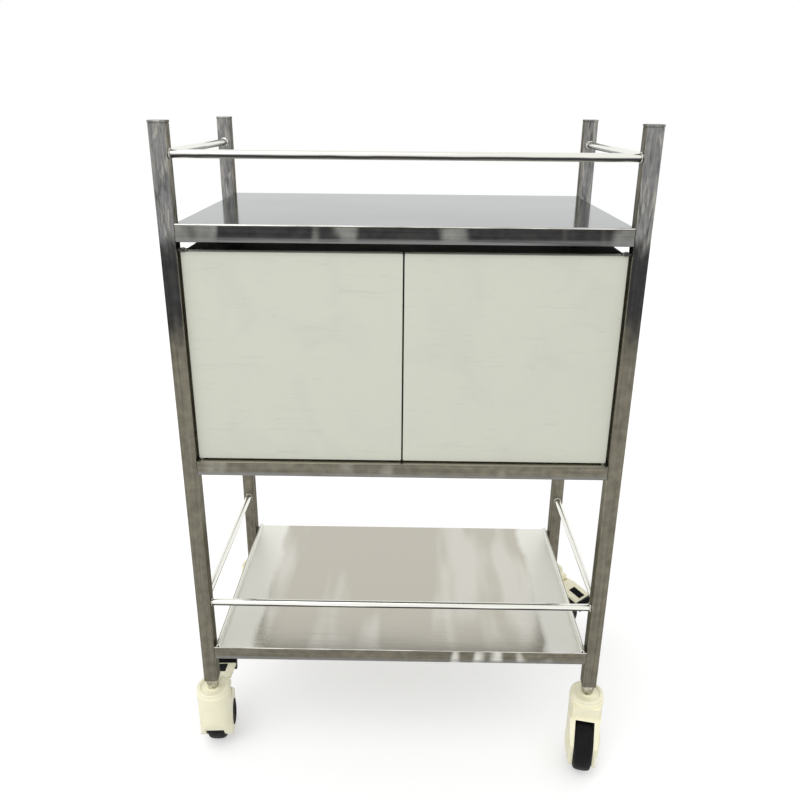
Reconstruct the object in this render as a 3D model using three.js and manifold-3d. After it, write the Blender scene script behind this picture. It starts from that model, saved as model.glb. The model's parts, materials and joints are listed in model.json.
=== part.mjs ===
import * as THREE from 'three';
import { mergeVertices } from 'three/addons/utils/BufferGeometryUtils.js';
import Module from 'manifold-3d';

// A stainless steel trolley on four swivel castors: an open frame of square tube, a railed deck, a cabinet
// with two doors and a railed lower shelf. Millimetres, +Z up, the front faces -Y and +X is to the right.

const wasm = await Module();
wasm.setup();

// Fits
const seat = 0.3; // gap between two pieces that touch or are welded
const overrun = 4; // how far a cutting solid runs past what it cuts
const weldSink = 0.6; // how far a joined lug runs into the piece that carries it

// Square tube frame
const frameWidth = 740;
const frameDepth = 445;
const tubeSide = 25.4;
const tubeWall = 1.2;
const tubeCorner = 2.4;
const footRise = 52.2; // post bottom to the underside of the lowest tubes
const bayHeight = 355.8; // lowest tubes to the cabinet tubes
const cabinetHeight = 365.3; // cabinet tubes to the deck tubes
const postAboveRail = 42.2;
const capThickness = 4;
const capOverhang = 0.6;
const capEdge = 0.8;
const spigotLength = 12;
const spigotClearance = 0.25;

// Round rails
const railRadius = 6.35;
const railWall = 1;
const deckRailRise = 99.1; // deck top to the rail's centre
const shelfRailRise = 90.9; // lower shelf top to the rail's centre

// Deck and lower shelf sheets
const deckSheet = 1.2;
const hemWidth = 12;
const shelfSheet = 1.5;
const rimWidth = 7; // raised bead along the left and right edges of the lower shelf
const rimHeight = 7;
const rimInset = 4.5; // dark gap between the bead and the posts

// Cabinet
const wallSheet = 1.2;
const returnWidth = 12;
const floorLip = 10;
const floorReach = 6; // how far the floor laps onto the front tube
const wallDrop = 2.7; // the walls end this far below the tops of the doors
const backInset = 10;

// Doors
const doorInset = 10;
const doorThickness = 20;
const doorSheet = 1;
const doorLip = 12;
const doorEdge = 1.2;
const doorCorner = 2.5;
const doorSideGap = 2.5;
const doorMiddleGap = 2.5;
const doorFootGap = 2.2;
const doorTopGap = 15.4; // finger gap under the deck tube
const doorBackGap = 1.5;

// Hinge pins and the lugs that hold their tops
const pinRadius = 2.5;
const pinEdge = 3.9; // pin axis to the door's outer side and to its front
const pinHole = 2.85;
const pinReach = 6; // how far the pin goes into the cabinet tube
const pinTop = 2;
const collarRadius = 4.8;
const lugThickness = 3;
const lugRadius = 7.5;
const lugGap = 1;

// Magnetic catch on the cabinet floor
const catchWidth = 46;
const catchDepth = 14;
const catchHeight = 13;
const catchCorner = 2;
const magnetWidth = 16;
const magnetHeight = 7;
const magnetStand = 0.4;

// Castor wheels
const wheelRadius = 50;
const wheelFacets = 32;
const hubFacets = 16;
const treadWidth = 32;
const rimRadius = 37;
const rimDepth = 5;
const rimBand = 26;
const webWidth = 9;
const bossRadius = 12;
const hubBore = 5.35;
const hubSideGap = 0.4;
const axleRadius = 5;
const axleHole = 5.3;
const axleHeadFlats = 16;
const axleHeadHeight = 4;
const headRecess = 10.5;

// Castor housings
const trail = 32; // swivel axis to axle
const wellClearance = 5;
const wellSideGap = 1.5;
const crownHeight = 25.2; // roof of the wheel well to the foot of the round cap
const capHeight = 13;
const housingRadius = 31.5;
const capLedge = 0.6; // how far the round cap stands out past the housing
const housingRearWidth = 50;
const groundClearance = 25;
const archRise = 43; // how far the leading edge is cut away above the feet
const archShares = [0.45, 0.125]; // where the arch bends: share of the housing's radius, share of its rise
const heelReach = 39; // axle to the rear edge of the legs
const heelRun = 9;
const heelRise = 11;
const heelHeight = 36;
const cheek = 6.5; // leg thickness under the axle heads
const panelStandoff = 1.5;
const lipReach = 3;
const lipThickness = 2.2;
const ringStep = 1.3;
const ringHeight = 4;
const dishDepth = 2.2;
const dishWall = 5;
const dishBoss = 12.5;

// Castor stems
const stemRadius = 6;
const stemHole = 6.5;
const stemHeadRadius = 9.2;
const stemHeadHeight = 9;
const stemHeadHole = 9.9;
const stemHeadDrop = 13; // foot of the round cap to the top of the stem's head
const swivelGap = 0.5;
const nutFlats = 19;
const nutHeight = 9.5;
const footCollarRadius = 12.4;
const footCollarHeight = 9.7;
const plugLength = 40;
const plugClearance = 0.2;

// Brake pedals
const earThickness = 3.5;
const earGap = 0.5;
const earRadius = 5.5;
const pivotStandoff = 6;
const pivotRise = 9;
const pivotRadius = 2.6;
const pivotHole = 2.9;
const barrelRadius = 4.8;
const pedalLength = 62; // pivot to the end of the plate
const pedalPlate = 5.5;
const pedalTop = 9.8; // pivot to the top of the plate above it
const pedalRise = 13.3; // pivot to the top of the plate's end
const plateStart = 8; // pivot to where the plate widens, clear of the ears
const plateWidth = 49;
const treadPadLength = 30.5;
const treadPadWidth = 18.6;
const treadPadHeight = 1.2;
const treadPadEnd = 6;
const toeLength = 7.5;
const toeLean = 8; // how far the toe block leans out from the plate's end
const toeRise = 12; // how far it stands above the plate
const toeDrop = 17; // how far it hangs below the top of the plate
const toeSlope = 4; // how far its top falls towards the tip
const toeEdge = 0.5; // how far it stands out past each side of the plate
const shoeWidth = 24;
const shoeThickness = 5.5;
const shoeGap = 0.7; // brake shoe to tyre with the pedal down
const pedalSwing = THREE.MathUtils.degToRad(17);

// Castor headings: the way each wheel trails, from +Y towards +X
const frontLeftHeading = THREE.MathUtils.degToRad(-3);
const frontRightHeading = THREE.MathUtils.degToRad(192);
const rearLeftHeading = THREE.MathUtils.degToRad(0);
const rearRightHeading = THREE.MathUtils.degToRad(138);

// Facets of round forms
const cornerSteps = 1;
const railFacets = 16;
const pinFacets = 12;
const bendSteps = 3;
const capFacets = 24;
const stemFacets = 12;

// Points of the tyre's half section: share of its height, share of its half width
const tyreShares = [[0, 0.82], [0.4, 1], [0.82, 0.97], [1, 0.66]];

// Heights and places that follow from the sizes
const axleHeight = wheelRadius * Math.cos(Math.PI / wheelFacets);
const wellRadius = wheelRadius + wellClearance;
const wellTop = axleHeight + wellRadius;
const wellHalf = treadWidth / 2 + wellSideGap;
const lipTop = wellTop + lipThickness;
const capBase = wellTop + crownHeight;
const capTop = capBase + capHeight;
const stemHeadTop = capBase - stemHeadDrop;
const nutBase = capTop + swivelGap;
const footCollarBase = nutBase + nutHeight;
const plugBase = footCollarBase + footCollarHeight;
const postBottom = plugBase + seat;
const panelBack = housingRadius + panelStandoff;
const pivotBack = panelBack + pivotStandoff;
const pivotHeight = lipTop + pivotRise;
const barrelLength = housingRearWidth - 2 * earThickness - 2 * earGap;

const innerWidth = frameWidth - 2 * tubeSide;
const innerDepth = frameDepth - 2 * tubeSide;
const postX = (frameWidth - tubeSide) / 2;
const postY = (frameDepth - tubeSide) / 2;
const lowerTubeBase = postBottom + footRise;
const lowerTubeTop = lowerTubeBase + tubeSide;
const cabinetTubeBase = lowerTubeTop + bayHeight;
const cabinetTubeTop = cabinetTubeBase + tubeSide;
const deckTubeBase = cabinetTubeTop + cabinetHeight;
const deckTubeTop = deckTubeBase + tubeSide;
const deckTop = deckTubeTop + seat + 2 * deckSheet;
const shelfTop = lowerTubeTop + seat + shelfSheet;
const deckRailHeight = deckTop + deckRailRise;
const shelfRailHeight = shelfTop + shelfRailRise;
const postTop = deckRailHeight + postAboveRail;

const doorFront = -frameDepth / 2 + doorInset;
const doorBack = doorFront + doorThickness;
const doorFoot = cabinetTubeTop + doorFootGap;
const doorTop = deckTubeBase - doorTopGap;
const doorOuter = innerWidth / 2 - doorSideGap;
const hingeX = doorOuter - pinEdge;
const hingeY = doorFront + pinEdge;
const lugBase = doorTop + lugGap;
const wallFront = doorBack + doorBackGap;
const wallTop = doorTop - wallDrop;
const wallOuter = innerWidth / 2 - seat;
const wallFoot = cabinetTubeTop + seat;
const backOuter = frameDepth / 2 - backInset;

// Looks
const stainless = { color: 0xb8b6b0, roughness: 0.34, metalness: 0.95 };
const sheetSteel = { color: 0xc9c9c4, roughness: 0.3, metalness: 0.95 };
const plated = { color: 0xa9abad, roughness: 0.3, metalness: 0.9 };
const creamPlastic = { color: 0xe9e5cc, roughness: 0.5, metalness: 0 };
const greyPlastic = { color: 0x8b8c88, roughness: 0.55, metalness: 0 };
const blackRubber = { color: 0x1a1b1c, roughness: 0.8, metalness: 0 };

// A closed geometry as a solid that can be joined and cut. Corners that meet on an axis leave empty
// triangles, which are dropped.
function solid(geometry) {
  const bare = geometry.clone();
  bare.deleteAttribute('normal');
  bare.deleteAttribute('uv');
  const merged = mergeVertices(bare);
  const corners = [];
  for (let i = 0; i < merged.index.count; i += 3) {
    const [a, b, c] = merged.index.array.slice(i, i + 3);
    if (a !== b && b !== c && c !== a) {
      corners.push(a, b, c);
    }
  }
  return new wasm.Manifold(new wasm.Mesh({
    numProp: 3,
    vertProperties: merged.attributes.position.array,
    triVerts: new Uint32Array(corners),
  }));
}

function join(...solids) {
  return solids.reduce((whole, next) => whole.add(next));
}

function cut(body, ...tools) {
  return tools.reduce((rest, tool) => rest.subtract(tool), body);
}

// A named mesh with its own material.
function piece(name, body, look) {
  const source = body.getMesh();
  const geometry = new THREE.BufferGeometry();
  geometry.setAttribute('position', new THREE.BufferAttribute(new Float32Array(source.vertProperties), 3));
  geometry.setIndex(new THREE.BufferAttribute(new Uint32Array(source.triVerts), 1));
  geometry.computeVertexNormals();
  const mesh = new THREE.Mesh(geometry, new THREE.MeshStandardMaterial(look));
  mesh.name = name;
  return mesh;
}

// An extruded outline, centred on the origin along Z.
function bar(shape, length, steps = cornerSteps) {
  const settings = { depth: length, bevelEnabled: false, curveSegments: steps };
  return new THREE.ExtrudeGeometry(shape, settings).translate(0, 0, -length / 2);
}

// Lays a centred bar along X: its outline's x becomes Y and its outline's y becomes Z.
function alongX(geometry) {
  const turn = new THREE.Matrix4().makeBasis(
    new THREE.Vector3(0, 1, 0),
    new THREE.Vector3(0, 0, 1),
    new THREE.Vector3(1, 0, 0),
  );
  return geometry.applyMatrix4(turn);
}

// Lays a centred bar along Y: its outline's x stays X and its outline's y becomes Z.
function alongY(geometry) {
  return geometry.rotateX(Math.PI / 2);
}

// An extruded outline from one height to another.
function column(shape, low, high, steps = cornerSteps) {
  return bar(shape, high - low, steps).translate(0, 0, (low + high) / 2);
}

function roundedOutline(Outline, width, height, radius) {
  const x = width / 2 - radius;
  const y = height / 2 - radius;
  const outline = new Outline();
  outline.absarc(x, y, radius, 0, Math.PI / 2);
  outline.absarc(-x, y, radius, Math.PI / 2, Math.PI);
  outline.absarc(-x, -y, radius, Math.PI, 1.5 * Math.PI);
  outline.absarc(x, -y, radius, 1.5 * Math.PI, 2 * Math.PI);
  return outline;
}

function polygon(points) {
  return new THREE.Shape(points.map(([x, y]) => new THREE.Vector2(x, y)));
}

function hexagon(flats) {
  const radius = flats / Math.sqrt(3);
  const corners = Array.from({ length: 6 }, (unused, k) => [
    radius * Math.cos(k * Math.PI / 3),
    radius * Math.sin(k * Math.PI / 3),
  ]);
  return polygon(corners);
}

function disc(radius, facets) {
  const shape = new THREE.Shape();
  shape.absarc(0, 0, radius, 0, 2 * Math.PI);
  return polygon(shape.getSpacedPoints(facets).slice(0, facets).map(({ x, y }) => [x, y]));
}

// A round rod or hole along Z, X or Y through the origin.
function rod(radius, length, facets) {
  return bar(disc(radius, facets), length);
}

// A revolved profile of radius and height pairs, around Z.
function revolve(profile, facets) {
  const points = profile.map(([radius, height]) => new THREE.Vector2(radius, height));
  return new THREE.LatheGeometry(points, facets, Math.PI / facets).rotateX(Math.PI / 2);
}

// A sheet bent along a line of points, with its thickness to the left of the line and square ends.
function bentSheet(points, thickness) {
  const line = points.map(([x, y]) => new THREE.Vector2(x, y));
  const left = line.map((point, i) => {
    const before = line[Math.max(i - 1, 0)];
    const after = line[Math.min(i + 1, line.length - 1)];
    const ways = [point.clone().sub(before), after.clone().sub(point)].filter((way) => way.length() > 0);
    const normals = ways.map((way) => new THREE.Vector2(-way.y, way.x).normalize());
    const mean = normals.reduce((sum, normal) => sum.add(normal), new THREE.Vector2()).normalize();
    return mean.multiplyScalar(thickness / mean.dot(normals[0].clone().normalize())).add(point);
  });
  return new THREE.Shape([...line, ...left.reverse()]);
}

// Frame

function squareTube(length) {
  const shape = roundedOutline(THREE.Shape, tubeSide, tubeSide, tubeCorner);
  const bore = tubeSide - 2 * tubeWall;
  shape.holes.push(roundedOutline(THREE.Path, bore, bore, tubeCorner - tubeWall));
  return bar(shape, length);
}

// The half-round lug on a front post that holds the top of a hinge pin.
function hingeLug(side) {
  const shape = new THREE.Shape();
  const root = innerWidth / 2 + weldSink - hingeX;
  shape.moveTo(root, -lugRadius);
  shape.lineTo(root, lugRadius);
  shape.absarc(0, 0, lugRadius, Math.PI / 2, 1.5 * Math.PI);
  const lug = column(shape, lugBase, lugBase + lugThickness, bendSteps);
  if (side < 0) {
    lug.rotateZ(Math.PI);
  }
  return cut(
    solid(lug.translate(side * hingeX, hingeY, 0)),
    solid(rod(pinHole, lugThickness + overrun, pinFacets)
      .translate(side * hingeX, hingeY, lugBase + lugThickness / 2)),
  );
}

function post(name, side, end) {
  const tube = squareTube(postTop - postBottom);
  tube.translate(side * postX, end * postY, (postTop + postBottom) / 2);
  const body = end < 0 ? join(solid(tube), hingeLug(side)) : solid(tube);
  return piece(`post_${name}`, body, stainless);
}

// A flat cap with softened edges on a spigot that fits inside the post.
function postCap(name, side, end) {
  const inner = tubeSide + 2 * capOverhang - 2 * capEdge;
  const plate = new THREE.ExtrudeGeometry(roundedOutline(THREE.Shape, inner, inner, tubeCorner), {
    depth: capThickness - 2 * capEdge,
    bevelThickness: capEdge,
    bevelSize: capEdge,
    bevelSegments: 1,
    curveSegments: cornerSteps,
  });
  const fit = tubeSide - 2 * tubeWall - 2 * spigotClearance;
  const spigot = column(roundedOutline(THREE.Shape, fit, fit, tubeCorner - tubeWall), -spigotLength, capEdge);
  const body = join(
    solid(plate.translate(side * postX, end * postY, postTop + seat + capEdge)),
    solid(spigot.translate(side * postX, end * postY, postTop + seat)),
  );
  return piece(`post_cap_${name}`, body, stainless);
}

function crossTube(name, end, base) {
  const tube = alongX(squareTube(innerWidth - 2 * seat)).translate(0, end * postY, base + tubeSide / 2);
  return piece(name, solid(tube), stainless);
}

// The front tube under the doors has a hole in its top wall for the foot of each hinge pin.
function cabinetFrontTube(name) {
  const tube = alongX(squareTube(innerWidth - 2 * seat)).translate(0, -postY, cabinetTubeBase + tubeSide / 2);
  const holes = [-1, 1].map((side) => solid(
    rod(pinHole, tubeSide, pinFacets).translate(side * hingeX, hingeY, cabinetTubeTop),
  ));
  return piece(name, cut(solid(tube), ...holes), stainless);
}

function sideTube(name, side, base) {
  const tube = alongY(squareTube(innerDepth - 2 * seat));
  tube.translate(side * (innerWidth - tubeSide) / 2, 0, base + tubeSide / 2);
  return piece(name, solid(tube), stainless);
}

// Rails

function roundTube(length) {
  const shape = disc(railRadius, railFacets);
  shape.holes.push(disc(railRadius - railWall, railFacets));
  return bar(shape, length);
}

function frontRail(name, height) {
  const rail = alongX(roundTube(innerWidth - 2 * seat)).translate(0, -postY, height);
  return piece(name, solid(rail), stainless);
}

function sideRail(name, side, height) {
  const rail = alongY(roundTube(innerDepth - 2 * seat)).translate(side * postX, 0, height);
  return piece(name, solid(rail), stainless);
}

// Sheets

// The deck: a sheet hemmed under on all four sides, with rounded front and back folds.
function deck() {
  const fold = frameDepth / 2 - deckSheet;
  const shape = new THREE.Shape();
  shape.absarc(fold, -deckSheet, deckSheet, -Math.PI / 2, Math.PI / 2);
  shape.absarc(-fold, -deckSheet, deckSheet, Math.PI / 2, 1.5 * Math.PI);
  const width = innerWidth - 2 * seat;
  const slab = alongX(bar(shape, width, bendSteps)).translate(0, 0, deckTop);
  const pocket = column(
    roundedOutline(THREE.Shape, width - 2 * hemWidth, frameDepth - 2 * hemWidth, deckSheet),
    deckTop - 2 * deckSheet - overrun,
    deckTop - deckSheet,
  );
  return piece('top_shelf', cut(solid(slab), solid(pocket)), sheetSteel);
}

// The lower shelf: a sheet whose left and right edges are raised in a rounded bead.
function lowerShelf() {
  const half = innerWidth / 2 - rimInset;
  const radius = rimWidth / 2;
  const centre = half - radius;
  const rise = rimHeight - radius;
  const bead = Array.from({ length: 2 * bendSteps + 1 }, (unused, k) => {
    const turn = Math.PI * k / (2 * bendSteps);
    return [centre + radius * Math.cos(turn), rise + radius * Math.sin(turn)];
  });
  const right = [[half, 0], ...bead, [centre - radius, shelfSheet]];
  const left = right.map(([x, z]) => [-x, z]).reverse();
  const shape = bentSheet([...right, ...left], shelfSheet);
  const sheet = alongY(bar(shape, frameDepth)).translate(0, 0, lowerTubeTop + seat);
  return piece('lower_shelf', solid(sheet), sheetSteel);
}

// Cabinet

// A flat floor with lips turned up against the side walls. Under the doors it runs on flat onto the
// front tube.
function cabinetFloor() {
  const half = wallOuter - wallSheet - seat;
  const front = -frameDepth / 2 + tubeSide - floorReach;
  const back = backOuter - wallSheet - seat;
  const shape = bentSheet([[-half, floorLip], [-half, 0], [half, 0], [half, floorLip]], wallSheet);
  const tray = alongY(bar(shape, back - wallFront)).translate(0, (wallFront + back) / 2, wallFoot);
  const tongueBack = wallFront + floorReach;
  const tonguePlan = roundedOutline(THREE.Shape, 2 * half, tongueBack - front, floorReach / 2);
  const tongue = column(tonguePlan, wallFoot, wallFoot + wallSheet).translate(0, (tongueBack + front) / 2, 0);
  return piece('cabinet_floor', join(solid(tray), solid(tongue)), sheetSteel);
}

// A side wall with a return flange behind the door and one along the back wall. The flanges end above
// the floor.
function cabinetSide(name, side) {
  const back = backOuter - wallSheet - seat;
  const flange = wallOuter - returnWidth;
  const inner = wallOuter - wallSheet;
  const rear = back - wallSheet;
  const lip = wallFoot + floorLip + seat;
  const plan = (low, near, far, from, to, high) => solid(column(polygon([
    [side * near, from],
    [side * far, from],
    [side * far, to],
    [side * near, to],
  ]), low, high));
  const body = cut(
    plan(wallFoot, flange, wallOuter, wallFront, back, wallTop),
    plan(wallFoot - overrun, flange - overrun, inner, wallFront + wallSheet, rear, wallTop + overrun),
    plan(wallFoot - overrun, flange - overrun, inner, wallFront - overrun, back + overrun, lip),
  );
  return piece(name, body, sheetSteel);
}

function cabinetBack() {
  const sheet = column(polygon([
    [-wallOuter, backOuter - wallSheet],
    [wallOuter, backOuter - wallSheet],
    [wallOuter, backOuter],
    [-wallOuter, backOuter],
  ]), wallFoot, wallTop);
  return piece('cabinet_back', solid(sheet), sheetSteel);
}

// Doors

// A door is a pan: a front sheet with folded sides and a narrow lip behind them, open at the back.
function door(name, side) {
  const inner = doorMiddleGap / 2;
  const width = doorOuter - inner;
  const height = doorTop - doorFoot;
  const corner = doorCorner - doorEdge;
  const face = roundedOutline(THREE.Shape, width - 2 * doorEdge, height - 2 * doorEdge, corner);
  const block = new THREE.ExtrudeGeometry(face, {
    depth: doorThickness - 2 * doorEdge,
    bevelThickness: doorEdge,
    bevelSize: doorEdge,
    bevelSegments: 2,
    curveSegments: cornerSteps,
  });
  const centreX = side * (doorOuter + inner) / 2;
  const centreZ = (doorFoot + doorTop) / 2;
  const centreY = (doorFront + doorBack) / 2;
  block.translate(0, 0, doorEdge - doorThickness / 2);
  const pocket = bar(
    roundedOutline(THREE.Shape, width - 2 * doorSheet, height - 2 * doorSheet, doorSheet),
    doorThickness - 2 * doorSheet,
  );
  const mouth = bar(
    roundedOutline(THREE.Shape, width - 2 * doorLip, height - 2 * doorLip, doorCorner),
    doorThickness,
  ).translate(0, 0, -doorThickness / 2);
  const hole = rod(pinHole, height + overrun, pinFacets).translate(side * hingeX, hingeY, centreZ);
  const body = cut(
    solid(alongY(block).translate(centreX, centreY, centreZ)),
    solid(alongY(pocket).translate(centreX, centreY, centreZ)),
    solid(alongY(mouth).translate(centreX, centreY, centreZ)),
    solid(hole),
  );
  return piece(name, body, sheetSteel);
}

// A pin from the hole in the cabinet tube up through the door and the lug. Its collar carries the door.
function hingePin(name, side) {
  const foot = cabinetTubeTop - pinReach;
  const head = lugBase + lugThickness + pinTop;
  const body = revolve([
    [0, foot],
    [pinRadius, foot],
    [pinRadius, cabinetTubeTop + seat],
    [collarRadius, cabinetTubeTop + seat],
    [collarRadius, doorFoot - seat],
    [pinRadius, doorFoot - seat],
    [pinRadius, head],
    [0, head],
  ], pinFacets);
  return piece(name, solid(body.translate(side * hingeX, hingeY, 0)), plated);
}

// A block with a magnet facing the back of each door.
function doorCatch() {
  const base = wallFoot + wallSheet + seat;
  const front = doorBack + doorBackGap;
  const plan = roundedOutline(THREE.Shape, catchWidth, catchDepth, catchCorner);
  const block = column(plan, base, base + catchHeight).translate(0, front + catchDepth / 2, 0);
  const magnets = [-1, 1].map((side) => solid(
    alongY(bar(roundedOutline(THREE.Shape, magnetWidth, magnetHeight, magnetStand), catchDepth))
      .translate(side * catchWidth / 4, front + catchDepth / 2 - magnetStand, base + catchHeight / 2),
  ));
  return piece('door_catch', join(solid(block), ...magnets), greyPlastic);
}

// Castors: each is built around its swivel axis with the wheel trailing towards +Y

// A stem: a square plug in the post, a collar and a nut under it, and a headed shank that the housing
// turns on.
function stem() {
  const headBase = stemHeadTop - stemHeadHeight;
  const shank = revolve([
    [0, headBase],
    [stemHeadRadius, headBase],
    [stemHeadRadius, stemHeadTop],
    [stemRadius, stemHeadTop],
    [stemRadius, footCollarBase],
    [footCollarRadius, footCollarBase],
    [footCollarRadius, plugBase],
    [0, plugBase],
  ], stemFacets);
  const fit = tubeSide - 2 * tubeWall - 2 * plugClearance;
  const plugPlan = roundedOutline(THREE.Shape, fit, fit, tubeCorner - tubeWall);
  const plug = column(plugPlan, plugBase, plugBase + plugLength);
  const nut = column(hexagon(nutFlats), nutBase, footCollarBase);
  return join(solid(shank), solid(nut), solid(plug));
}

// The plan of the housing: round around the swivel axis, drawn in towards the back.
function housingPlan(back, rearWidth) {
  const shape = new THREE.Shape();
  shape.absarc(0, 0, housingRadius, Math.PI, 2 * Math.PI);
  shape.lineTo(rearWidth / 2, back - panelStandoff);
  shape.lineTo(rearWidth / 2 - panelStandoff, back);
  shape.lineTo(panelStandoff - rearWidth / 2, back);
  shape.lineTo(-rearWidth / 2, back - panelStandoff);
  return shape;
}

// The side of the legs: an arch cut away at the leading edge, rounded heels and a slope up to the lip.
function legSide() {
  const heel = trail + heelReach;
  const [acrossShare, riseShare] = archShares;
  const bendHeight = groundClearance + riseShare * archRise;
  const shape = new THREE.Shape();
  shape.moveTo(-housingRadius, lipTop);
  shape.lineTo(-housingRadius, groundClearance + archRise);
  shape.quadraticCurveTo(-acrossShare * housingRadius, bendHeight, 0, groundClearance);
  shape.lineTo(heel - heelRun, groundClearance);
  shape.quadraticCurveTo(heel, groundClearance, heel, groundClearance + heelRise);
  shape.lineTo(heel, groundClearance + heelRise + heelHeight);
  shape.lineTo(panelBack + lipReach, lipTop);
  return shape;
}

// The wheel well in side view: round over the wheel, open below and behind.
function wellSide() {
  const heel = trail + heelReach + overrun;
  const shape = new THREE.Shape();
  shape.moveTo(heel, wellTop);
  shape.lineTo(trail, wellTop);
  shape.absarc(trail, axleHeight, wellRadius, Math.PI / 2, Math.PI);
  shape.lineTo(trail - wellRadius, -overrun);
  shape.lineTo(heel, -overrun);
  return shape;
}

// The round cap with its stepped rings, raised rim, dish and centre boss.
function capProfile() {
  const edge = housingRadius + capLedge;
  const step = edge - ringStep;
  const rim = step - ringStep;
  const dish = capTop - dishDepth;
  return [
    [0, capBase - ringHeight],
    [edge, capBase - ringHeight],
    [edge, capBase + ringHeight],
    [step, capBase + ringHeight + ringStep],
    [step, capTop - ringStep],
    [rim, capTop],
    [rim - dishWall, capTop],
    [rim - dishWall - dishDepth, dish],
    [dishBoss, dish],
    [dishBoss, capTop],
    [0, capTop],
  ];
}

// The ears that hold the pedal's pivot, on the flat panel under the cap.
function ears() {
  const shape = new THREE.Shape();
  shape.moveTo(panelBack - weldSink, pivotHeight - earRadius);
  shape.lineTo(pivotBack, pivotHeight - earRadius);
  shape.absarc(pivotBack, pivotHeight, earRadius, -Math.PI / 2, Math.PI / 2);
  shape.lineTo(panelBack - weldSink, pivotHeight + earRadius);
  const place = housingRearWidth / 2 - earThickness / 2;
  return [-1, 1].map((side) => solid(
    alongX(bar(shape, earThickness, bendSteps)).translate(side * place, 0, 0),
  ));
}

function housing(braked) {
  const heel = trail + heelReach;
  const neckPlan = housingPlan(panelBack, housingRearWidth);
  const legPlan = housingPlan(heel, housingRearWidth);
  const legs = solid(column(legPlan, groundClearance - overrun, lipTop + overrun, 2 * bendSteps))
    .intersect(solid(alongX(bar(legSide(), 2 * housingRadius + overrun, bendSteps + 1))));
  const neck = solid(column(neckPlan, lipTop - weldSink, capBase, 2 * bendSteps));
  const cap = solid(revolve(capProfile(), capFacets));
  const shell = braked ? join(legs, neck, cap, ...ears()) : join(legs, neck, cap);
  const recessLength = housingRadius;
  const tools = [
    solid(alongX(bar(wellSide(), 2 * wellHalf, bendSteps))),
    solid(rod(stemHole, capTop, stemFacets).translate(0, 0, capTop)),
    solid(column(disc(stemHeadHole, stemFacets), axleHeight, stemHeadTop + swivelGap)),
    solid(alongX(rod(axleHole, 2 * housingRadius, stemFacets)).translate(0, trail, axleHeight)),
    ...[-1, 1].map((side) => solid(alongX(rod(headRecess, recessLength, stemFacets))
      .translate(side * (wellHalf + cheek + recessLength / 2), trail, axleHeight))),
  ];
  if (braked) {
    const notch = roundedOutline(THREE.Shape, shoeWidth + 2 * earGap, 2 * pivotStandoff, earGap);
    const bore = alongX(rod(pivotHole, housingRearWidth - earThickness, pinFacets));
    tools.push(
      solid(bore.translate(0, pivotBack, pivotHeight)),
      solid(column(notch, wellTop - overrun, lipTop + overrun).translate(0, pivotBack, 0)),
    );
  }
  return cut(shell, ...tools);
}

// The hub: boss, web and rim in one moulding around the axle.
function hub() {
  const boss = wellHalf - hubSideGap;
  const rimInner = rimRadius - rimDepth;
  const half = [
    [hubBore, boss],
    [bossRadius, boss],
    [bossRadius, webWidth / 2],
    [rimInner, webWidth / 2],
    [rimInner, rimBand / 2],
    [rimRadius, rimBand / 2],
  ];
  const mirrored = half.map(([radius, width]) => [radius, -width]);
  const ring = [...mirrored, ...half.reverse(), mirrored[0]];
  return solid(revolve(ring, hubFacets).rotateY(Math.PI / 2));
}

function tyre() {
  const inner = rimRadius + seat;
  const half = tyreShares.map(([heightShare, widthShare]) => [
    inner + heightShare * (wheelRadius - inner),
    widthShare * treadWidth / 2,
  ]);
  const mirrored = half.map(([radius, width]) => [radius, -width]);
  const ring = [...mirrored, ...half.reverse(), mirrored[0]];
  return solid(revolve(ring, wheelFacets).rotateY(Math.PI / 2));
}

// An axle bolt: a shank between two six-sided heads that sit in the housing's recesses.
function axle() {
  const reach = wellHalf + cheek + seat;
  const shank = solid(alongX(rod(axleRadius, 2 * reach + axleHeadHeight, stemFacets)));
  const heads = [-1, 1].map((side) => solid(
    alongX(bar(hexagon(axleHeadFlats), axleHeadHeight)).translate(side * (reach + axleHeadHeight / 2), 0, 0),
  ));
  return join(shank, ...heads);
}

// A brake pedal around its pivot: barrel with stub pins, plate, tread pad, toe block and the brake shoe.
function pedal() {
  const slope = (pedalRise - pedalTop) / pedalLength;
  const top = (reach) => pedalTop + slope * reach;
  const padEnd = pedalLength - treadPadEnd;
  const padStart = padEnd - treadPadLength;
  const neckEnd = plateStart + weldSink;
  const toeStart = pedalLength - weldSink;
  const toeTop = pedalLength + toeLean;
  const toeTip = toeTop + toeLength;
  const sideShape = (points, width) => solid(alongX(bar(polygon(points), width)));
  const neck = sideShape([
    [0, pedalTop],
    [0, 0],
    [neckEnd, top(neckEnd) - pedalPlate],
    [neckEnd, top(neckEnd)],
  ], barrelLength);
  const plate = sideShape([
    [plateStart, top(plateStart)],
    [plateStart, top(plateStart) - pedalPlate],
    [pedalLength, pedalRise - pedalPlate],
    [pedalLength, pedalRise],
  ], plateWidth);
  const pad = sideShape([
    [padStart, top(padStart) - treadPadHeight],
    [padEnd, top(padEnd) - treadPadHeight],
    [padEnd, top(padEnd) + treadPadHeight],
    [padStart, top(padStart) + treadPadHeight],
  ], treadPadWidth);
  const toe = sideShape([
    [toeStart, pedalRise - pedalPlate],
    [toeTop, pedalRise - toeDrop],
    [toeTip, pedalRise - toeDrop],
    [toeTip, pedalRise + toeRise - toeSlope],
    [toeTop, pedalRise + toeRise],
    [toeStart, pedalRise],
  ], plateWidth + 2 * toeEdge);
  const barrel = solid(alongX(rod(barrelRadius, barrelLength, stemFacets)));
  const pins = solid(alongX(rod(pivotRadius, housingRearWidth - earThickness - 2 * seat, pinFacets)));
  return join(neck, plate, pad, toe, barrel, pins, brakeShoe());
}

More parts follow.
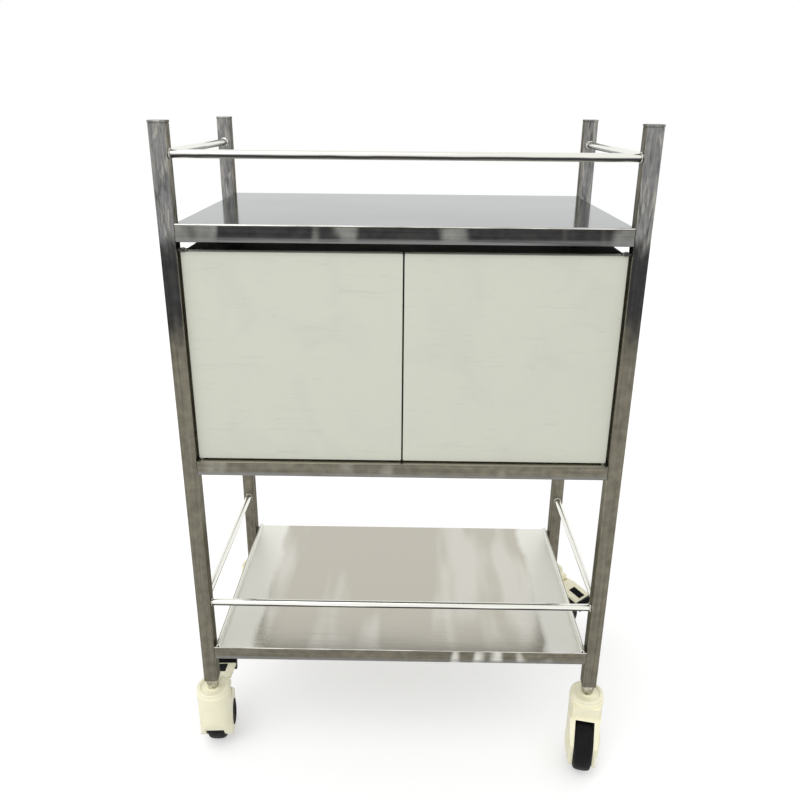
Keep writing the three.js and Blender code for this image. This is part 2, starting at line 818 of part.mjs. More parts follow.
// The shoe under the barrel points at the axle when the pedal is down, and stops just short of the tyre.
function brakeShoe() {
  const back = trail - pivotBack;
  const down = axleHeight - pivotHeight;
  const reach = Math.hypot(back, down) - wheelRadius - shoeGap;
  const shape = polygon([
    [-shoeThickness / 2, 0],
    [-shoeThickness / 2, -reach],
    [shoeThickness / 2, -reach],
    [shoeThickness / 2, 0],
  ]);
  const turn = Math.atan2(down, back) + pedalSwing + Math.PI / 2;
  return solid(alongX(bar(shape, shoeWidth)).rotateX(turn));
}

// One castor under a post. Its stem stays square to the post, and the rest turns to its heading.
function castor(name, side, end, heading, pedalTurn) {
  const braked = pedalTurn !== undefined;
  const turned = new THREE.Group();
  turned.rotation.z = -heading;
  turned.add(piece(`castor_housing_${name}`, housing(braked), creamPlastic));
  const parts = [
    piece(`wheel_hub_${name}`, hub(), greyPlastic),
    piece(`wheel_tyre_${name}`, tyre(), blackRubber),
    piece(`wheel_axle_${name}`, axle(), plated),
  ];
  for (const part of parts) {
    part.position.set(0, trail, axleHeight);
    turned.add(part);
  }
  if (braked) {
    const lever = piece(`brake_pedal_${name}`, pedal(), creamPlastic);
    lever.position.set(0, pivotBack, pivotHeight);
    lever.rotation.x = pedalTurn;
    turned.add(lever);
  }
  const whole = new THREE.Group();
  whole.position.set(side * postX, end * postY, 0);
  whole.add(piece(`castor_stem_${name}`, stem(), plated), turned);
  return whole;
}

const trolley = new THREE.Group();
const corners = [['front_left', -1, -1], ['front_right', 1, -1], ['rear_left', -1, 1], ['rear_right', 1, 1]];
for (const [name, side, end] of corners) {
  trolley.add(post(name, side, end), postCap(name, side, end));
}
const levels = [['deck', deckTubeBase], ['cabinet', cabinetTubeBase], ['shelf', lowerTubeBase]];
for (const [level, base] of levels) {
  const front = `${level}_tube_front`;
  trolley.add(
    level === 'cabinet' ? cabinetFrontTube(front) : crossTube(front, -1, base),
    crossTube(`${level}_tube_rear`, 1, base),
    sideTube(`${level}_tube_left`, -1, base),
    sideTube(`${level}_tube_right`, 1, base),
  );
}
for (const [level, height] of [['deck', deckRailHeight], ['shelf', shelfRailHeight]]) {
  trolley.add(
    frontRail(`${level}_rail_front`, height),
    sideRail(`${level}_rail_left`, -1, height),
    sideRail(`${level}_rail_right`, 1, height),
  );
}
trolley.add(deck(), lowerShelf(), cabinetFloor(), cabinetBack(), doorCatch());
for (const [name, side] of [['left', -1], ['right', 1]]) {
  trolley.add(
    cabinetSide(`cabinet_side_${name}`, side),
    door(`door_${name}`, side),
    hingePin(`hinge_pin_${name}`, side),
  );
}
trolley.add(
  castor('front_left', -1, -1, frontLeftHeading, -pedalSwing),
  castor('front_right', 1, -1, frontRightHeading),
  castor('rear_left', -1, 1, rearLeftHeading),
  castor('rear_right', 1, 1, rearRightHeading, -pedalSwing),
);

// The origin is on the floor, under the middle of the whole outline with its castors as they stand.
const outline = new THREE.Box3().setFromObject(trolley).getCenter(new THREE.Vector3());
trolley.position.set(-outline.x, -outline.y, 0);

export default trolley;
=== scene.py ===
"""Medicine trolley: the finished surfaces and materials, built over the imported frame."""

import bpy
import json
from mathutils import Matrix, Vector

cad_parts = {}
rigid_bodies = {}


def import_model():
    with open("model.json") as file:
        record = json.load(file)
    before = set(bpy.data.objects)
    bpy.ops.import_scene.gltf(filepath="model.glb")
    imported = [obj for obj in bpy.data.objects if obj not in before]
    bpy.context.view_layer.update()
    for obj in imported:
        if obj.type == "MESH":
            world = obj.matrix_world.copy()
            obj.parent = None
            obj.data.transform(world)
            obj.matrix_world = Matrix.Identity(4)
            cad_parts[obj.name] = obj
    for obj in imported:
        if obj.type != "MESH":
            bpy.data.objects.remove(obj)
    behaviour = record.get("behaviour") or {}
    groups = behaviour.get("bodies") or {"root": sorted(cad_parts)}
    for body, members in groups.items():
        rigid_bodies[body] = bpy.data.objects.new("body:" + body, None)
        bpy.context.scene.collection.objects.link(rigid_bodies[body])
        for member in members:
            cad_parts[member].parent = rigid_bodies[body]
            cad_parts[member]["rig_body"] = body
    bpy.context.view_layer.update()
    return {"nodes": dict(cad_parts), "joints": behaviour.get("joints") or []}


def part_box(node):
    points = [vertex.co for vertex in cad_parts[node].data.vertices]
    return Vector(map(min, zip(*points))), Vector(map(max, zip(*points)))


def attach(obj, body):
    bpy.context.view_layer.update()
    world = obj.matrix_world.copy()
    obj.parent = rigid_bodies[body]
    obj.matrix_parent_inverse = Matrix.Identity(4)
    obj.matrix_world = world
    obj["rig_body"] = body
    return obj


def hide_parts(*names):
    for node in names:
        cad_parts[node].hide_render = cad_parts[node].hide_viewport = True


bl_info = {
    "name": "Medicine Trolley",
    "version": (1, 0, 0),
    "blender": (4, 5, 0),
    "location": "3D View > Sidebar > Trolley",
    "description": "Builds the finished surfaces and materials of a two-door medicine trolley",
    "category": "Object",
}

import json
import math

import bmesh
import bpy
import numpy as np
from mathutils import Matrix, Vector

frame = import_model()

CORNERS = ("front_left", "front_right", "rear_left", "rear_right")
SIDES = ("front", "rear", "left", "right")
LEVELS = ("deck", "cabinet", "shelf")
RAIL_LEVELS = ("deck", "shelf")
RAIL_SIDES = ("front", "left", "right")
BRAKED = ("front_left", "rear_right")
JOINTS = {joint["name"]: joint for joint in frame["joints"]}
MM = 0.001

# Sockets of the Mix node in its colour form
MIX_FACTOR, MIX_A, MIX_B, MIX_RESULT = 0, 6, 7, 2

# Painted reflections: what polished stainless steel mirrors indoors, painted into its colour as one plain
# tone for each kind of surrounding
MIRRORED_SHADOW = "#383838"
MIRRORED_ROOM = "#808080"
MIRRORED_FLOOR = "#706C60"
MIRRORED_PALE = "#B8B4A8"
MIRRORED_LAMP = "#F0F0E8"


def linear(code):
    """Turns an sRGB hex colour into linear red, green, blue and full alpha."""
    shares = np.array([int(code[i:i + 2], 16) for i in (1, 3, 5)]) / 255
    low = shares / 12.92
    high = ((shares + 0.055) / 1.055) ** 2.4
    return (*np.where(shares <= 0.04045, low, high).tolist(), 1.0)


# Settings that a user would change


def length(name, about, default):
    """A length setting in metres, shown in the scene's unit."""
    return bpy.props.FloatProperty(
        name=name, description=about, default=default, min=0.0, unit="LENGTH", precision=5)


def colour(name, about, code):
    """A colour setting whose default is an sRGB hex colour."""
    return bpy.props.FloatVectorProperty(
        name=name, description=about, default=linear(code), size=4, min=0.0, max=1.0, subtype="COLOR")


class TrolleySizes(bpy.types.PropertyGroup):
    tube_edge: length("Tube edge", "Radius on the edges of the square tubes", 1.5 * MM)
    door_edge: length("Door edge", "Radius on the folds of the doors", 1.0 * MM)
    sheet_edge: length("Sheet edge", "Radius on the edges of the thin sheets", 0.3 * MM)
    moulding_edge: length("Moulding edge", "Radius on the edges of the castor mouldings", 0.8 * MM)
    hardware_edge: length("Hardware edge", "Radius on the edges of nuts, pins and stems", 0.35 * MM)
    rail_bead: length("Rail weld bead", "Radius of the weld bead round a rail's end", 2.0 * MM)
    tube_bead: length("Tube weld bead", "Radius of the ground weld round a tube's end", 0.3 * MM)
    rolled_edge: length("Rolled edge", "Radius of the rolled front edges of the shelves", 0.9 * MM)
    skin: length("Castor skin", "How far the castors' smooth faces lie over the moulding", 0.12 * MM)
    cover_rise: length("Cover rise", "How far the round axle covers bulge", 2.8 * MM)


class TrolleyColours(bpy.types.PropertyGroup):
    door_paint: colour("Door paint", "Powder coat of the doors", "#CFD1C3")
    castor_plastic: colour("Castor plastic", "Moulded cream of the castors", "#F6F2D5")
    tyre_rubber: colour("Tyre rubber", "Black of the tyres", "#0E0E0F")
    top_sheet: colour("Top sheet", "Satin steel of the top shelf", "#C7C8C8")


class TrolleyStage(bpy.types.PropertyGroup):
    lens: bpy.props.FloatProperty(
        name="Lens", description="Focal length of the camera", default=34.55, unit="CAMERA")
    place: bpy.props.FloatVectorProperty(
        name="Place", description="Where the camera stands", size=3,
        default=(-0.02256, -1.3836, 1.1805), subtype="TRANSLATION", unit="LENGTH")
    turn: bpy.props.FloatProperty(
        name="Turn", description="Turn of the camera to the left", default=0.01137, subtype="ANGLE")
    tilt: bpy.props.FloatProperty(
        name="Tilt", description="Tilt of the camera upwards", default=-0.36442, subtype="ANGLE")
    roll: bpy.props.FloatProperty(
        name="Roll", description="Roll of the camera", default=-0.00856, subtype="ANGLE")
    daylight: bpy.props.FloatProperty(
        name="Daylight", description="Strength of the even light all round", default=1.0, min=0.0)
    softbox: bpy.props.FloatProperty(
        name="Soft box", description="Power of the large soft lamp", default=22.0, min=0.0, unit="POWER")
    floor_glow: bpy.props.FloatProperty(
        name="Floor glow", description="White that the floor adds for the eye alone", default=0.40, min=0.0)


# Meshes


def make_piece(name, mesh, body, material, stands_for=()):
    """Puts a mesh into the scene as a piece that rides on a body and may stand for CAD nodes."""
    piece = bpy.data.objects.new(name, mesh)
    bpy.context.scene.collection.objects.link(piece)
    mesh.materials.append(material)
    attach(piece, body)
    if stands_for:
        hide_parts(*stands_for)
    return piece


def smooth_mesh(name, points, faces):
    """A smooth-shaded mesh from points and faces, turned outwards, with its sharp edges kept sharp."""
    mesh = bpy.data.meshes.new(name)
    mesh.from_pydata(points.tolist(), [], faces)
    work = bmesh.new()
    work.from_mesh(mesh)
    bmesh.ops.recalc_face_normals(work, faces=work.faces)
    work.to_mesh(mesh)
    work.free()
    mesh.polygons.foreach_set("use_smooth", np.ones(len(mesh.polygons), bool))
    mesh.set_sharp_from_angle(angle=EDGE_ANGLE)
    return mesh


def grid_faces(rows, columns, start=0, wrap_rows=False):
    """Four-sided faces between neighbouring points of a grid whose columns close into a ring.

    Open first and last rows are each closed by one face.
    """
    index = np.arange(rows * columns).reshape(rows, columns) + start
    around = np.hstack([index, index[:, :1]])
    if wrap_rows:
        around = np.vstack([around, around[:1]])
    corners = [around[:-1, :-1], around[:-1, 1:], around[1:, 1:], around[1:, :-1]]
    faces = np.stack(corners, axis=-1).reshape(-1, 4).tolist()
    if not wrap_rows:
        faces += [index[0].tolist(), index[-1].tolist()]
    return faces


def ring_mesh(name, grids):
    """One mesh of several grids that each close into a ring both ways."""
    faces = []
    start = 0
    for grid in grids:
        rows, columns = grid.shape[:2]
        faces += grid_faces(rows, columns, start, wrap_rows=True)
        start += rows * columns
    return smooth_mesh(name, np.concatenate([grid.reshape(-1, 3) for grid in grids]), faces)


def round_edges(piece, edge, segments):
    """Rounds a piece's sharp edges and keeps its flat faces flat, as the wider face leads the shading."""
    bevel = piece.modifiers.new("rounded edges", "BEVEL")
    bevel.width = edge
    bevel.segments = segments
    bevel.limit_method = "ANGLE"
    bevel.angle_limit = EDGE_ANGLE
    piece.modifiers.new("flat faces", "WEIGHTED_NORMAL").keep_sharp = True
    return piece


def rounded_copy(node, edge, segments, material):
    """A copy of a CAD solid with its triangles merged, its flat faces joined and its edges rounded."""
    source = frame["nodes"][node]
    points = np.empty(len(source.data.vertices) * 3, np.float32)
    source.data.vertices.foreach_get("co", points)
    corners = np.empty(len(source.data.loops), np.int32)
    source.data.loops.foreach_get("vertex_index", corners)
    mesh = bpy.data.meshes.new(node + "_skin")
    mesh.from_pydata(points.reshape(-1, 3).tolist(), [], corners.reshape(-1, 3).tolist())
    work = bmesh.new()
    work.from_mesh(mesh)
    bmesh.ops.remove_doubles(work, verts=work.verts, dist=MERGE_DISTANCE)
    bmesh.ops.dissolve_limit(
        work, angle_limit=FLAT_ANGLE, verts=work.verts, edges=work.edges, use_dissolve_boundaries=False)
    work.to_mesh(mesh)
    work.free()
    mesh.polygons.foreach_set("use_smooth", np.ones(len(mesh.polygons), bool))
    piece = make_piece(node + "_skin", mesh, source["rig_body"], material, [node])
    return round_edges(piece, edge, segments)


MERGE_DISTANCE = 0.01 * MM
FLAT_ANGLE = math.radians(0.6)
EDGE_ANGLE = math.radians(35)
# Past this cosine an axis counts as upright
UPRIGHT_COSINE = 0.9
# Bends in a rounded edge: broad on tubes and doors, few on thin sheet and small hardware
BROAD_BENDS = 3
SMALL_BENDS = 2
PLAIN_BENDS = 1


def frame_of(axis):
    """An axis as a unit direction, and two directions square to it and to each other."""
    along = np.array(axis, float)
    along /= np.linalg.norm(along)
    upright = np.array([0.0, 0.0, 1.0])
    helper = upright if abs(along @ upright) < UPRIGHT_COSINE else np.array([1.0, 0.0, 0.0])
    first = np.cross(helper, along)
    first /= np.linalg.norm(first)
    return along, first, np.cross(along, first)


def carried_circle(start, end, radius, rings, spokes):
    """A circle carried along a straight line: point = line + radius (cos a first + sin a second)."""
    start, end = np.array(start), np.array(end)
    _, first, second = frame_of(end - start)
    shares = np.linspace(0, 1, rings)[:, None, None]
    angles = np.linspace(0, 2 * math.pi, spokes, endpoint=False)[None, :, None]
    line = start + shares * (end - start)
    return line + radius * (np.cos(angles) * first + np.sin(angles) * second)


def revolved(profile, centre, axis, spokes):
    """A closed profile of (along, radius) turned round an axis.

    Each point is centre + along axis + radius spoke.
    """
    profile = np.array(profile)
    along, first, second = frame_of(axis)
    angles = np.linspace(0, 2 * math.pi, spokes, endpoint=False)[:, None, None]
    spoke = np.cos(angles) * first + np.sin(angles) * second
    return np.array(centre) + profile[None, :, :1] * along + profile[None, :, 1:] * spoke


def weld_ring(centre, axis, half_width, squareness, bead, ripples):
    """A rippled bead that follows a round or square outline.

    The outline is a superellipse: half_width sign(cos a) |cos a|^(2/n) and the same with sine, where
    n is 2 for a circle and large for a square. The bead's own radius swells with a sine of the place
    along it, as each drop of weld did.
    """
    along, first, second = frame_of(axis)
    angles = np.linspace(0, 2 * math.pi, WELD_STATIONS, endpoint=False)
    power = 2 / squareness
    cosine = np.sign(np.cos(angles)) * np.abs(np.cos(angles)) ** power
    sine = np.sign(np.sin(angles)) * np.abs(np.sin(angles)) ** power
    outline = half_width * (cosine[:, None] * first + sine[:, None] * second)
    outward = outline / np.linalg.norm(outline, axis=1)[:, None]
    swell = 1 + RIPPLE_SHARE * np.sin(ripples * angles) + LUMP_SHARE * np.sin(3 * angles + ripples)
    turns = np.linspace(0, 2 * math.pi, WELD_SPOKES, endpoint=False)[None, :, None]
    radius = bead * swell[:, None, None]
    return np.array(centre) + outline[:, None] + radius * (
        np.cos(turns) * outward[:, None] + np.sin(turns) * along)


WELD_STATIONS = 64
WELD_SPOKES = 8
RIPPLE_SHARE = 0.16
LUMP_SHARE = 0.12


# Materials


def add_node(tree, kind, inputs=None, stops=None, **settings):
    """Adds a node with its settings. Inputs are values or the sockets that feed them, and stops are
    a colour ramp's places and colours."""
    made = tree.nodes.new(kind)
    for name, value in settings.items():
        setattr(made, name, value)
    for socket, value in (inputs or {}).items():
        if isinstance(value, bpy.types.NodeSocket):
            tree.links.new(value, made.inputs[socket])
        else:
            made.inputs[socket].default_value = value
    if stops:
        marks = made.color_ramp.elements
        while len(marks) < len(stops):
            marks.new(1.0)
        for mark, (place, shade) in zip(marks, stops):
            mark.position = place
            mark.color = linear(shade)
    return made


def new_material(name):
    """An empty node material and its tree."""
    made = bpy.data.materials.new(name)
    made.use_nodes = True
    made.node_tree.nodes.clear()
    return made, made.node_tree


def patches(tree, size, detail=3.0, distortion=0.0, seed=0.0):
    """Soft patches of a size in metres, one length for each axis, read at the object's own place."""
    place = add_node(tree, "ShaderNodeTexCoord").outputs["Object"]
    scaled = add_node(tree, "ShaderNodeMapping", {
        "Vector": place,
        "Location": (seed, seed, seed),
        "Scale": tuple(1 / side for side in size)})
    return add_node(tree, "ShaderNodeTexNoise", {
        "Vector": scaled.outputs["Vector"],
        "Scale": 1.0, "Detail": detail, "Distortion": distortion}).outputs["Fac"]


def share_of(tree, value, low, high, to_low=0.0, to_high=1.0):
    """A value's share of the way from low to high, held between the two ends."""
    return add_node(tree, "ShaderNodeMapRange", {
        "Value": value, "From Min": low, "From Max": high, "To Min": to_low, "To Max": to_high},
        clamp=True, interpolation_type="SMOOTHSTEP").outputs["Result"]


def mixed(tree, factor, first, second, blend="MIX"):
    """Two colours mixed by a factor."""
    return add_node(tree, "ShaderNodeMix", {MIX_FACTOR: factor, MIX_A: first, MIX_B: second},
                    data_type="RGBA", blend_type=blend).outputs[MIX_RESULT]


def sum_of(tree, first, second):
    """Two values added."""
    return add_node(tree, "ShaderNodeMath", {0: first, 1: second}, operation="ADD").outputs[0]


def product(tree, first, second):
    """Two factors multiplied."""
    return add_node(tree, "ShaderNodeMath", {0: first, 1: second}, operation="MULTIPLY").outputs[0]


def wandering(tree, value, size, reach, seed=0.0):
    """A value that soft patches shift up and down by up to a reach, so that its steps look unruled."""
    shift = share_of(tree, patches(tree, size, 3.0, 0.0, seed), 0.3, 0.7, -reach, reach)
    return sum_of(tree, value, shift)


def place_along(tree, axis):
    """The place along the X, Y or Z axis of the frame, in metres."""
    place = add_node(tree, "ShaderNodeTexCoord").outputs["Object"]
    return add_node(tree, "ShaderNodeSeparateXYZ", {"Vector": place}).outputs[axis]


def facing(tree):
    """How far the surface faces sideways and upwards, from its own normal."""
    normal = add_node(tree, "ShaderNodeNewGeometry").outputs["Normal"]
    parts = add_node(tree, "ShaderNodeSeparateXYZ", {"Vector": normal}).outputs
    sideways = add_node(tree, "ShaderNodeMath", {0: parts["X"]}, operation="ABSOLUTE").outputs[0]
    return sideways, parts["Z"]


def streaked(tree, shade, size, strength):
    """A colour with lighter and darker streaks of a size in metres, as a polishing belt leaves them."""
    streaks = add_node(tree, "ShaderNodeValToRGB", {"Fac": patches(tree, size, 3.0, 0.2)}, [
        (0.30, "#8F8F8D"), (0.50, "#BCBCBC"), (0.70, "#E2E1DC")]).outputs["Color"]
    return mixed(tree, strength, shade, streaks, "SOFT_LIGHT")


def finish_surface(tree, inputs, height=None, depth=0.0, strength=0.3):
    """The surface shader and its output, with a height pattern of a depth in metres as its bump."""
    if height is not None:
        bump = add_node(tree, "ShaderNodeBump", {
            "Height": height, "Strength": strength, "Distance": depth})
        inputs = {**inputs, "Normal": bump.outputs["Normal"]}
    shader = add_node(tree, "ShaderNodeBsdfPrincipled", inputs)
    add_node(tree, "ShaderNodeOutputMaterial", {"Surface": shader.outputs["BSDF"]})


# Sizes of the patterns on the polished tubes: belt streaks, drifts of tone and grinding lines. The
# real lines are 0.1 mm apart and are drawn coarser, so that they show.
UPRIGHT_STREAK = (3.5 * MM, 3.5 * MM, 130 * MM)
UPRIGHT_DRIFT = (14 * MM, 14 * MM, 60 * MM)
UPRIGHT_DRIFT_REACH = 12 * MM
UPRIGHT_LINES = (0.8 * MM, 0.8 * MM, 90 * MM)
CROSS_STREAK = (150 * MM, 3.5 * MM, 3.5 * MM)
CROSS_DRIFT = (60 * MM, 14 * MM, 14 * MM)
CROSS_LINES = (90 * MM, 0.8 * MM, 0.8 * MM)
SIDE_STREAK = (3.5 * MM, 150 * MM, 3.5 * MM)
SIDE_LINES = (0.8 * MM, 90 * MM, 0.8 * MM)
BLOTCHES = (16 * MM, 16 * MM, 16 * MM)
STREAK_SHARE = 0.4
BLOTCH_SHARE = 0.45
LINE_DEPTH = 0.05 * MM
# Where the painted reflection along an upright turns from the floor to the shadow under the deck, as shares
# of a door's height
SHADOW_SHARES = (0.5, 0.75)
# Patches of darker and paler painted reflection above the deck, where the mirror image breaks up: their
# size, and how much of them shows
BROKEN_REFLECTION_SIZE = (6 * MM, 6 * MM, 45 * MM)
BROKEN_REFLECTION_LIMITS = (0.5, 0.68)
BROKEN_REFLECTION_SHARE = 0.6
# Painted reflection: side faces and top faces lighter, by how far they face sideways and upwards
SIDE_FACE_LIMITS = (0.55, 0.8)
SIDE_FACE_SHARE = 0.6
TOP_FACE_LIMITS = (0.4, 0.9)
# Painted highlights: slow gleams along a tube, and how much of them shows on each level's front tube, beside
# the painted reflection tone of that tube
GLEAM_SIZE = (80 * MM, 300 * MM, 300 * MM)
GLEAM_LIMITS = (0.56, 0.64)
FRONT_TUBE_TONES = {
    "deck": (MIRRORED_SHADOW, 0.2),
    "cabinet": (MIRRORED_FLOOR, 0.1),
    "shelf": (MIRRORED_FLOOR, 0.7),
}
LINE_LIMITS = (0.3, 0.7)
TUBE_ROUGHNESS = (0.18, 0.32)
# How much of the polish is left at a glancing look
GLANCE = "#8C8C89"
SHEET_GLANCE = "#DADBDB"
TUBE_HEIGHT = 25.4 * MM
# Heights, as shares of the tube's height, between which the painted reflection along a front tube's foot
# fades in downwards
TUBE_FOOT_SHARES = (0.42, 0.12)


def polished_tube_surface(tree, shade, upwards, line_size):
    """The top face's paler painted reflection, the fine grinding lines and the mirror finish that all square
    tubes share.
    """
    shade = mixed(tree, share_of(tree, upwards, *TOP_FACE_LIMITS), shade, linear(MIRRORED_PALE))
    lines = patches(tree, line_size, 2.0)
    finish_surface(tree, {
        "Base Color": shade,
        "Metallic": 1.0,
        "Specular Tint": linear(GLANCE),
        "Roughness": share_of(tree, lines, *LINE_LIMITS, *TUBE_ROUGHNESS)}, lines, LINE_DEPTH, 0.12)


def polished_upright():
    """Square stainless upright, belt polished lengthwise.

    It is painted with reflections: the floor at its foot, the shadow under the deck beside the doors, and
    the room above the deck, broken up there by patches of darker and paler painted reflection.
    """
    material, tree = new_material("polished_upright")
    door_low, door_high = (corner.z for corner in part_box("door_left"))
    deck_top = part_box("deck_tube_front")[1].z
    height = wandering(tree, place_along(tree, "Z"), UPRIGHT_DRIFT, UPRIGHT_DRIFT_REACH)
    # Painted reflections by height: the floor at the foot, the shadow under the deck beside the doors, the
    # room above
    start, end = (door_low + share * (door_high - door_low) for share in SHADOW_SHARES)
    shade = mixed(tree, share_of(tree, height, start, end),
                  linear(MIRRORED_FLOOR), linear(MIRRORED_SHADOW))
    above = share_of(tree, height, door_high, deck_top)
    shade = mixed(tree, above, shade, linear(MIRRORED_ROOM))
    sideways, upwards = facing(tree)
    # Painted reflection: the side faces paler
    side = share_of(tree, sideways, *SIDE_FACE_LIMITS, 0.0, SIDE_FACE_SHARE)
    shade = mixed(tree, side, shade, linear(MIRRORED_PALE))
    shade = streaked(tree, shade, UPRIGHT_STREAK, STREAK_SHARE)
    shade = streaked(tree, shade, BLOTCHES, BLOTCH_SHARE)
    # Painted reflection: dark and pale patches break up the mirror image above the deck
    for seed, tint in enumerate((MIRRORED_SHADOW, MIRRORED_PALE), start=1):
        broken_reflection = share_of(tree, patches(tree, BROKEN_REFLECTION_SIZE, 4.0, 1.0, float(seed)), *BROKEN_REFLECTION_LIMITS, 0.0, BROKEN_REFLECTION_SHARE)
        shade = mixed(tree, product(tree, above, broken_reflection), shade, linear(tint))
    polished_tube_surface(tree, shade, upwards, UPRIGHT_LINES)
    return material


def polished_cross_tube(name, tone, gleam_share, foot_height):
    """Square stainless tube under a shelf's front edge, belt polished lengthwise.

    It is painted with the reflection of one surrounding, with painted highlights in slow gleams from end to
    end, and a lighter painted reflection along its foot.
    """
    material, tree = new_material(name)
    # Painted highlights: slow gleams of the lamp's reflection along the tube
    gleam = share_of(tree, patches(tree, GLEAM_SIZE, 2.0), *GLEAM_LIMITS, 0.0, gleam_share)
    shade = mixed(tree, gleam, linear(tone), linear(MIRRORED_LAMP))
    shade = streaked(tree, shade, CROSS_STREAK, STREAK_SHARE)
    shade = streaked(tree, shade, BLOTCHES, BLOTCH_SHARE)
    # Painted reflection: a lighter line along the tube's foot, broken along its length
    low, high = (foot_height + share * TUBE_HEIGHT for share in TUBE_FOOT_SHARES)
    foot = product(tree, share_of(tree, place_along(tree, "Z"), low, high),
                   share_of(tree, patches(tree, CROSS_STREAK, 2.0, 0.0, 5.0), 0.35, 0.6, 0.25, 0.9))
    shade = mixed(tree, foot, shade, linear(MIRRORED_ROOM))
    _, upwards = facing(tree)
    polished_tube_surface(tree, shade, upwards, CROSS_LINES)
    return material


def polished_side_tube():
    """Square stainless tube along the sides and the back, belt polished lengthwise; painted with the room's
    mid grey reflection, paler on its side faces.
    """
    material, tree = new_material("polished_side_tube")
    sideways, upwards = facing(tree)
    shade = streaked(tree, linear(MIRRORED_ROOM), SIDE_STREAK, STREAK_SHARE)
    side = share_of(tree, sideways, *SIDE_FACE_LIMITS, 0.0, SIDE_FACE_SHARE)
    shade = mixed(tree, side, shade, linear(MIRRORED_PALE))
    polished_tube_surface(tree, shade, upwards, SIDE_LINES)
    return material


ROD_WANDER = (120 * MM, 120 * MM, 120 * MM)
ROD_LINES = (3 * MM, 3 * MM, 3 * MM)
ROD_LINE_DEPTH = 0.04 * MM


def polished_stainless_rod():
    """Round stainless bar, buffed bright, painted by how it faces: a white reflection on its upper edge over
    a dark reflected band.
    """
    material, tree = new_material("polished_stainless_rod")
    _, upwards = facing(tree)
    # Painted reflection: colour taken from how far the surface faces upwards
    level = wandering(tree, upwards, ROD_WANDER, 0.08)
    level = add_node(tree, "ShaderNodeMapRange", {
        "Value": level, "From Min": -1.0, "From Max": 1.0}).outputs["Result"]
    shade = add_node(tree, "ShaderNodeValToRGB", {"Fac": level}, [
        (0.1, MIRRORED_PALE), (0.2, MIRRORED_SHADOW), (0.42, MIRRORED_SHADOW),
        (0.55, MIRRORED_LAMP)]).outputs["Color"]
    lines = patches(tree, ROD_LINES, 2.0)
    finish_surface(tree, {
        "Base Color": shade,
        "Metallic": 1.0,
        "Roughness": share_of(tree, lines, 0.3, 0.7, 0.12, 0.2)}, lines, ROD_LINE_DEPTH, 0.1)
    return material


WELD_TINT = (5 * MM, 5 * MM, 5 * MM)
WELD_DEPTH = 0.4 * MM


def ground_weld():
    """Weld metal, wire brushed: silver ripples with straw and brown heat tint in the hollows."""
    material, tree = new_material("ground_weld")
    tint = patches(tree, WELD_TINT, 3.0)
    shade = add_node(tree, "ShaderNodeValToRGB", {"Fac": tint}, [
        (0.30, "#77736A"), (0.48, "#ABA9A2"), (0.62, "#E4E3DE")]).outputs["Color"]
    finish_surface(tree, {"Base Color": shade, "Metallic": 1.0, "Roughness": 0.3}, tint, WELD_DEPTH, 0.4)
    return material


def brushed_seam():
    """Weld ground flush and brushed: a thin seam in the tubes' own grey, a little duller."""
    material, tree = new_material("brushed_seam")
    tint = patches(tree, WELD_TINT, 3.0)
    shade = add_node(tree, "ShaderNodeValToRGB", {"Fac": tint}, [
        (0.30, "#57554C"), (0.50, "#716E64"), (0.68, "#8E8B81")]).outputs["Color"]
    finish_surface(tree, {"Base Color": shade, "Metallic": 1.0, "Roughness": 0.4}, tint, WELD_DEPTH, 0.2)
    return material


SHEET_CLOUDS = (300 * MM, 200 * MM, 200 * MM)
ROLLING_LINES = (120 * MM, 1.2 * MM, 1.2 * MM)
ROLLING_DEPTH = 0.03 * MM


def satin_stainless_sheet(context):
    """Cold-rolled stainless sheet with a satin finish: pale, softly mirroring, faint rolling lines."""
    material, tree = new_material("satin_stainless_sheet")
    base = tuple(context.scene.trolley_colours.top_sheet)
    clouds = patches(tree, SHEET_CLOUDS, 2.0)
    shade = mixed(tree, share_of(tree, clouds, 0.35, 0.7), base, linear("#BFC1C0"))
    lines = patches(tree, ROLLING_LINES, 2.0)
    finish_surface(tree, {
        "Base Color": shade,
        "Metallic": 1.0,
        "Specular Tint": linear(SHEET_GLANCE),
        "Roughness": share_of(tree, lines, 0.3, 0.7, 0.08, 0.14)}, lines, ROLLING_DEPTH, 0.08)
    return material


def shaded_cabinet_sheet():
    """Mill-finish stainless sheet of the cabinet's walls, duller than the shelves; its mid grey is partly
    painted shade for the cabinet's inside.
    """
    material, tree = new_material("shaded_cabinet_sheet")
    clouds = patches(tree, SHEET_CLOUDS, 3.0)
    shade = mixed(tree, share_of(tree, clouds, 0.35, 0.7), linear("#939492"), linear("#9FA09D"))
    lines = patches(tree, ROLLING_LINES, 2.0)
    finish_surface(tree, {
        "Base Color": shade,
        "Metallic": 1.0,
        "Roughness": share_of(tree, lines, 0.3, 0.7, 0.28, 0.38)}, lines, ROLLING_DEPTH, 0.15)
    return material


PAN_TONE = "#C0BCB0"
PAN_DRIFT = (60 * MM, 120 * MM, 60 * MM)
PAN_DRIFT_REACH = 5 * MM
# The sheet bows where its sides turn up; the lamp it catches along a band there is a painted reflection
PAN_REFLECTION_BAND_START = 75 * MM
PAN_REFLECTION_BAND_END = 60 * MM
# Painted reflection: faint upright waves of lamp colour between the side bands
PAN_WAVE_REFLECTION = (90 * MM, 500 * MM, 90 * MM)
PAN_WAVE_REFLECTION_LIMITS = (0.52, 0.66)
PAN_WAVE_REFLECTION_SHARE = 0.35
# The bands' waves smear what they mirror, which is drawn as added roughness
PAN_BAND_SMEAR = 0.35


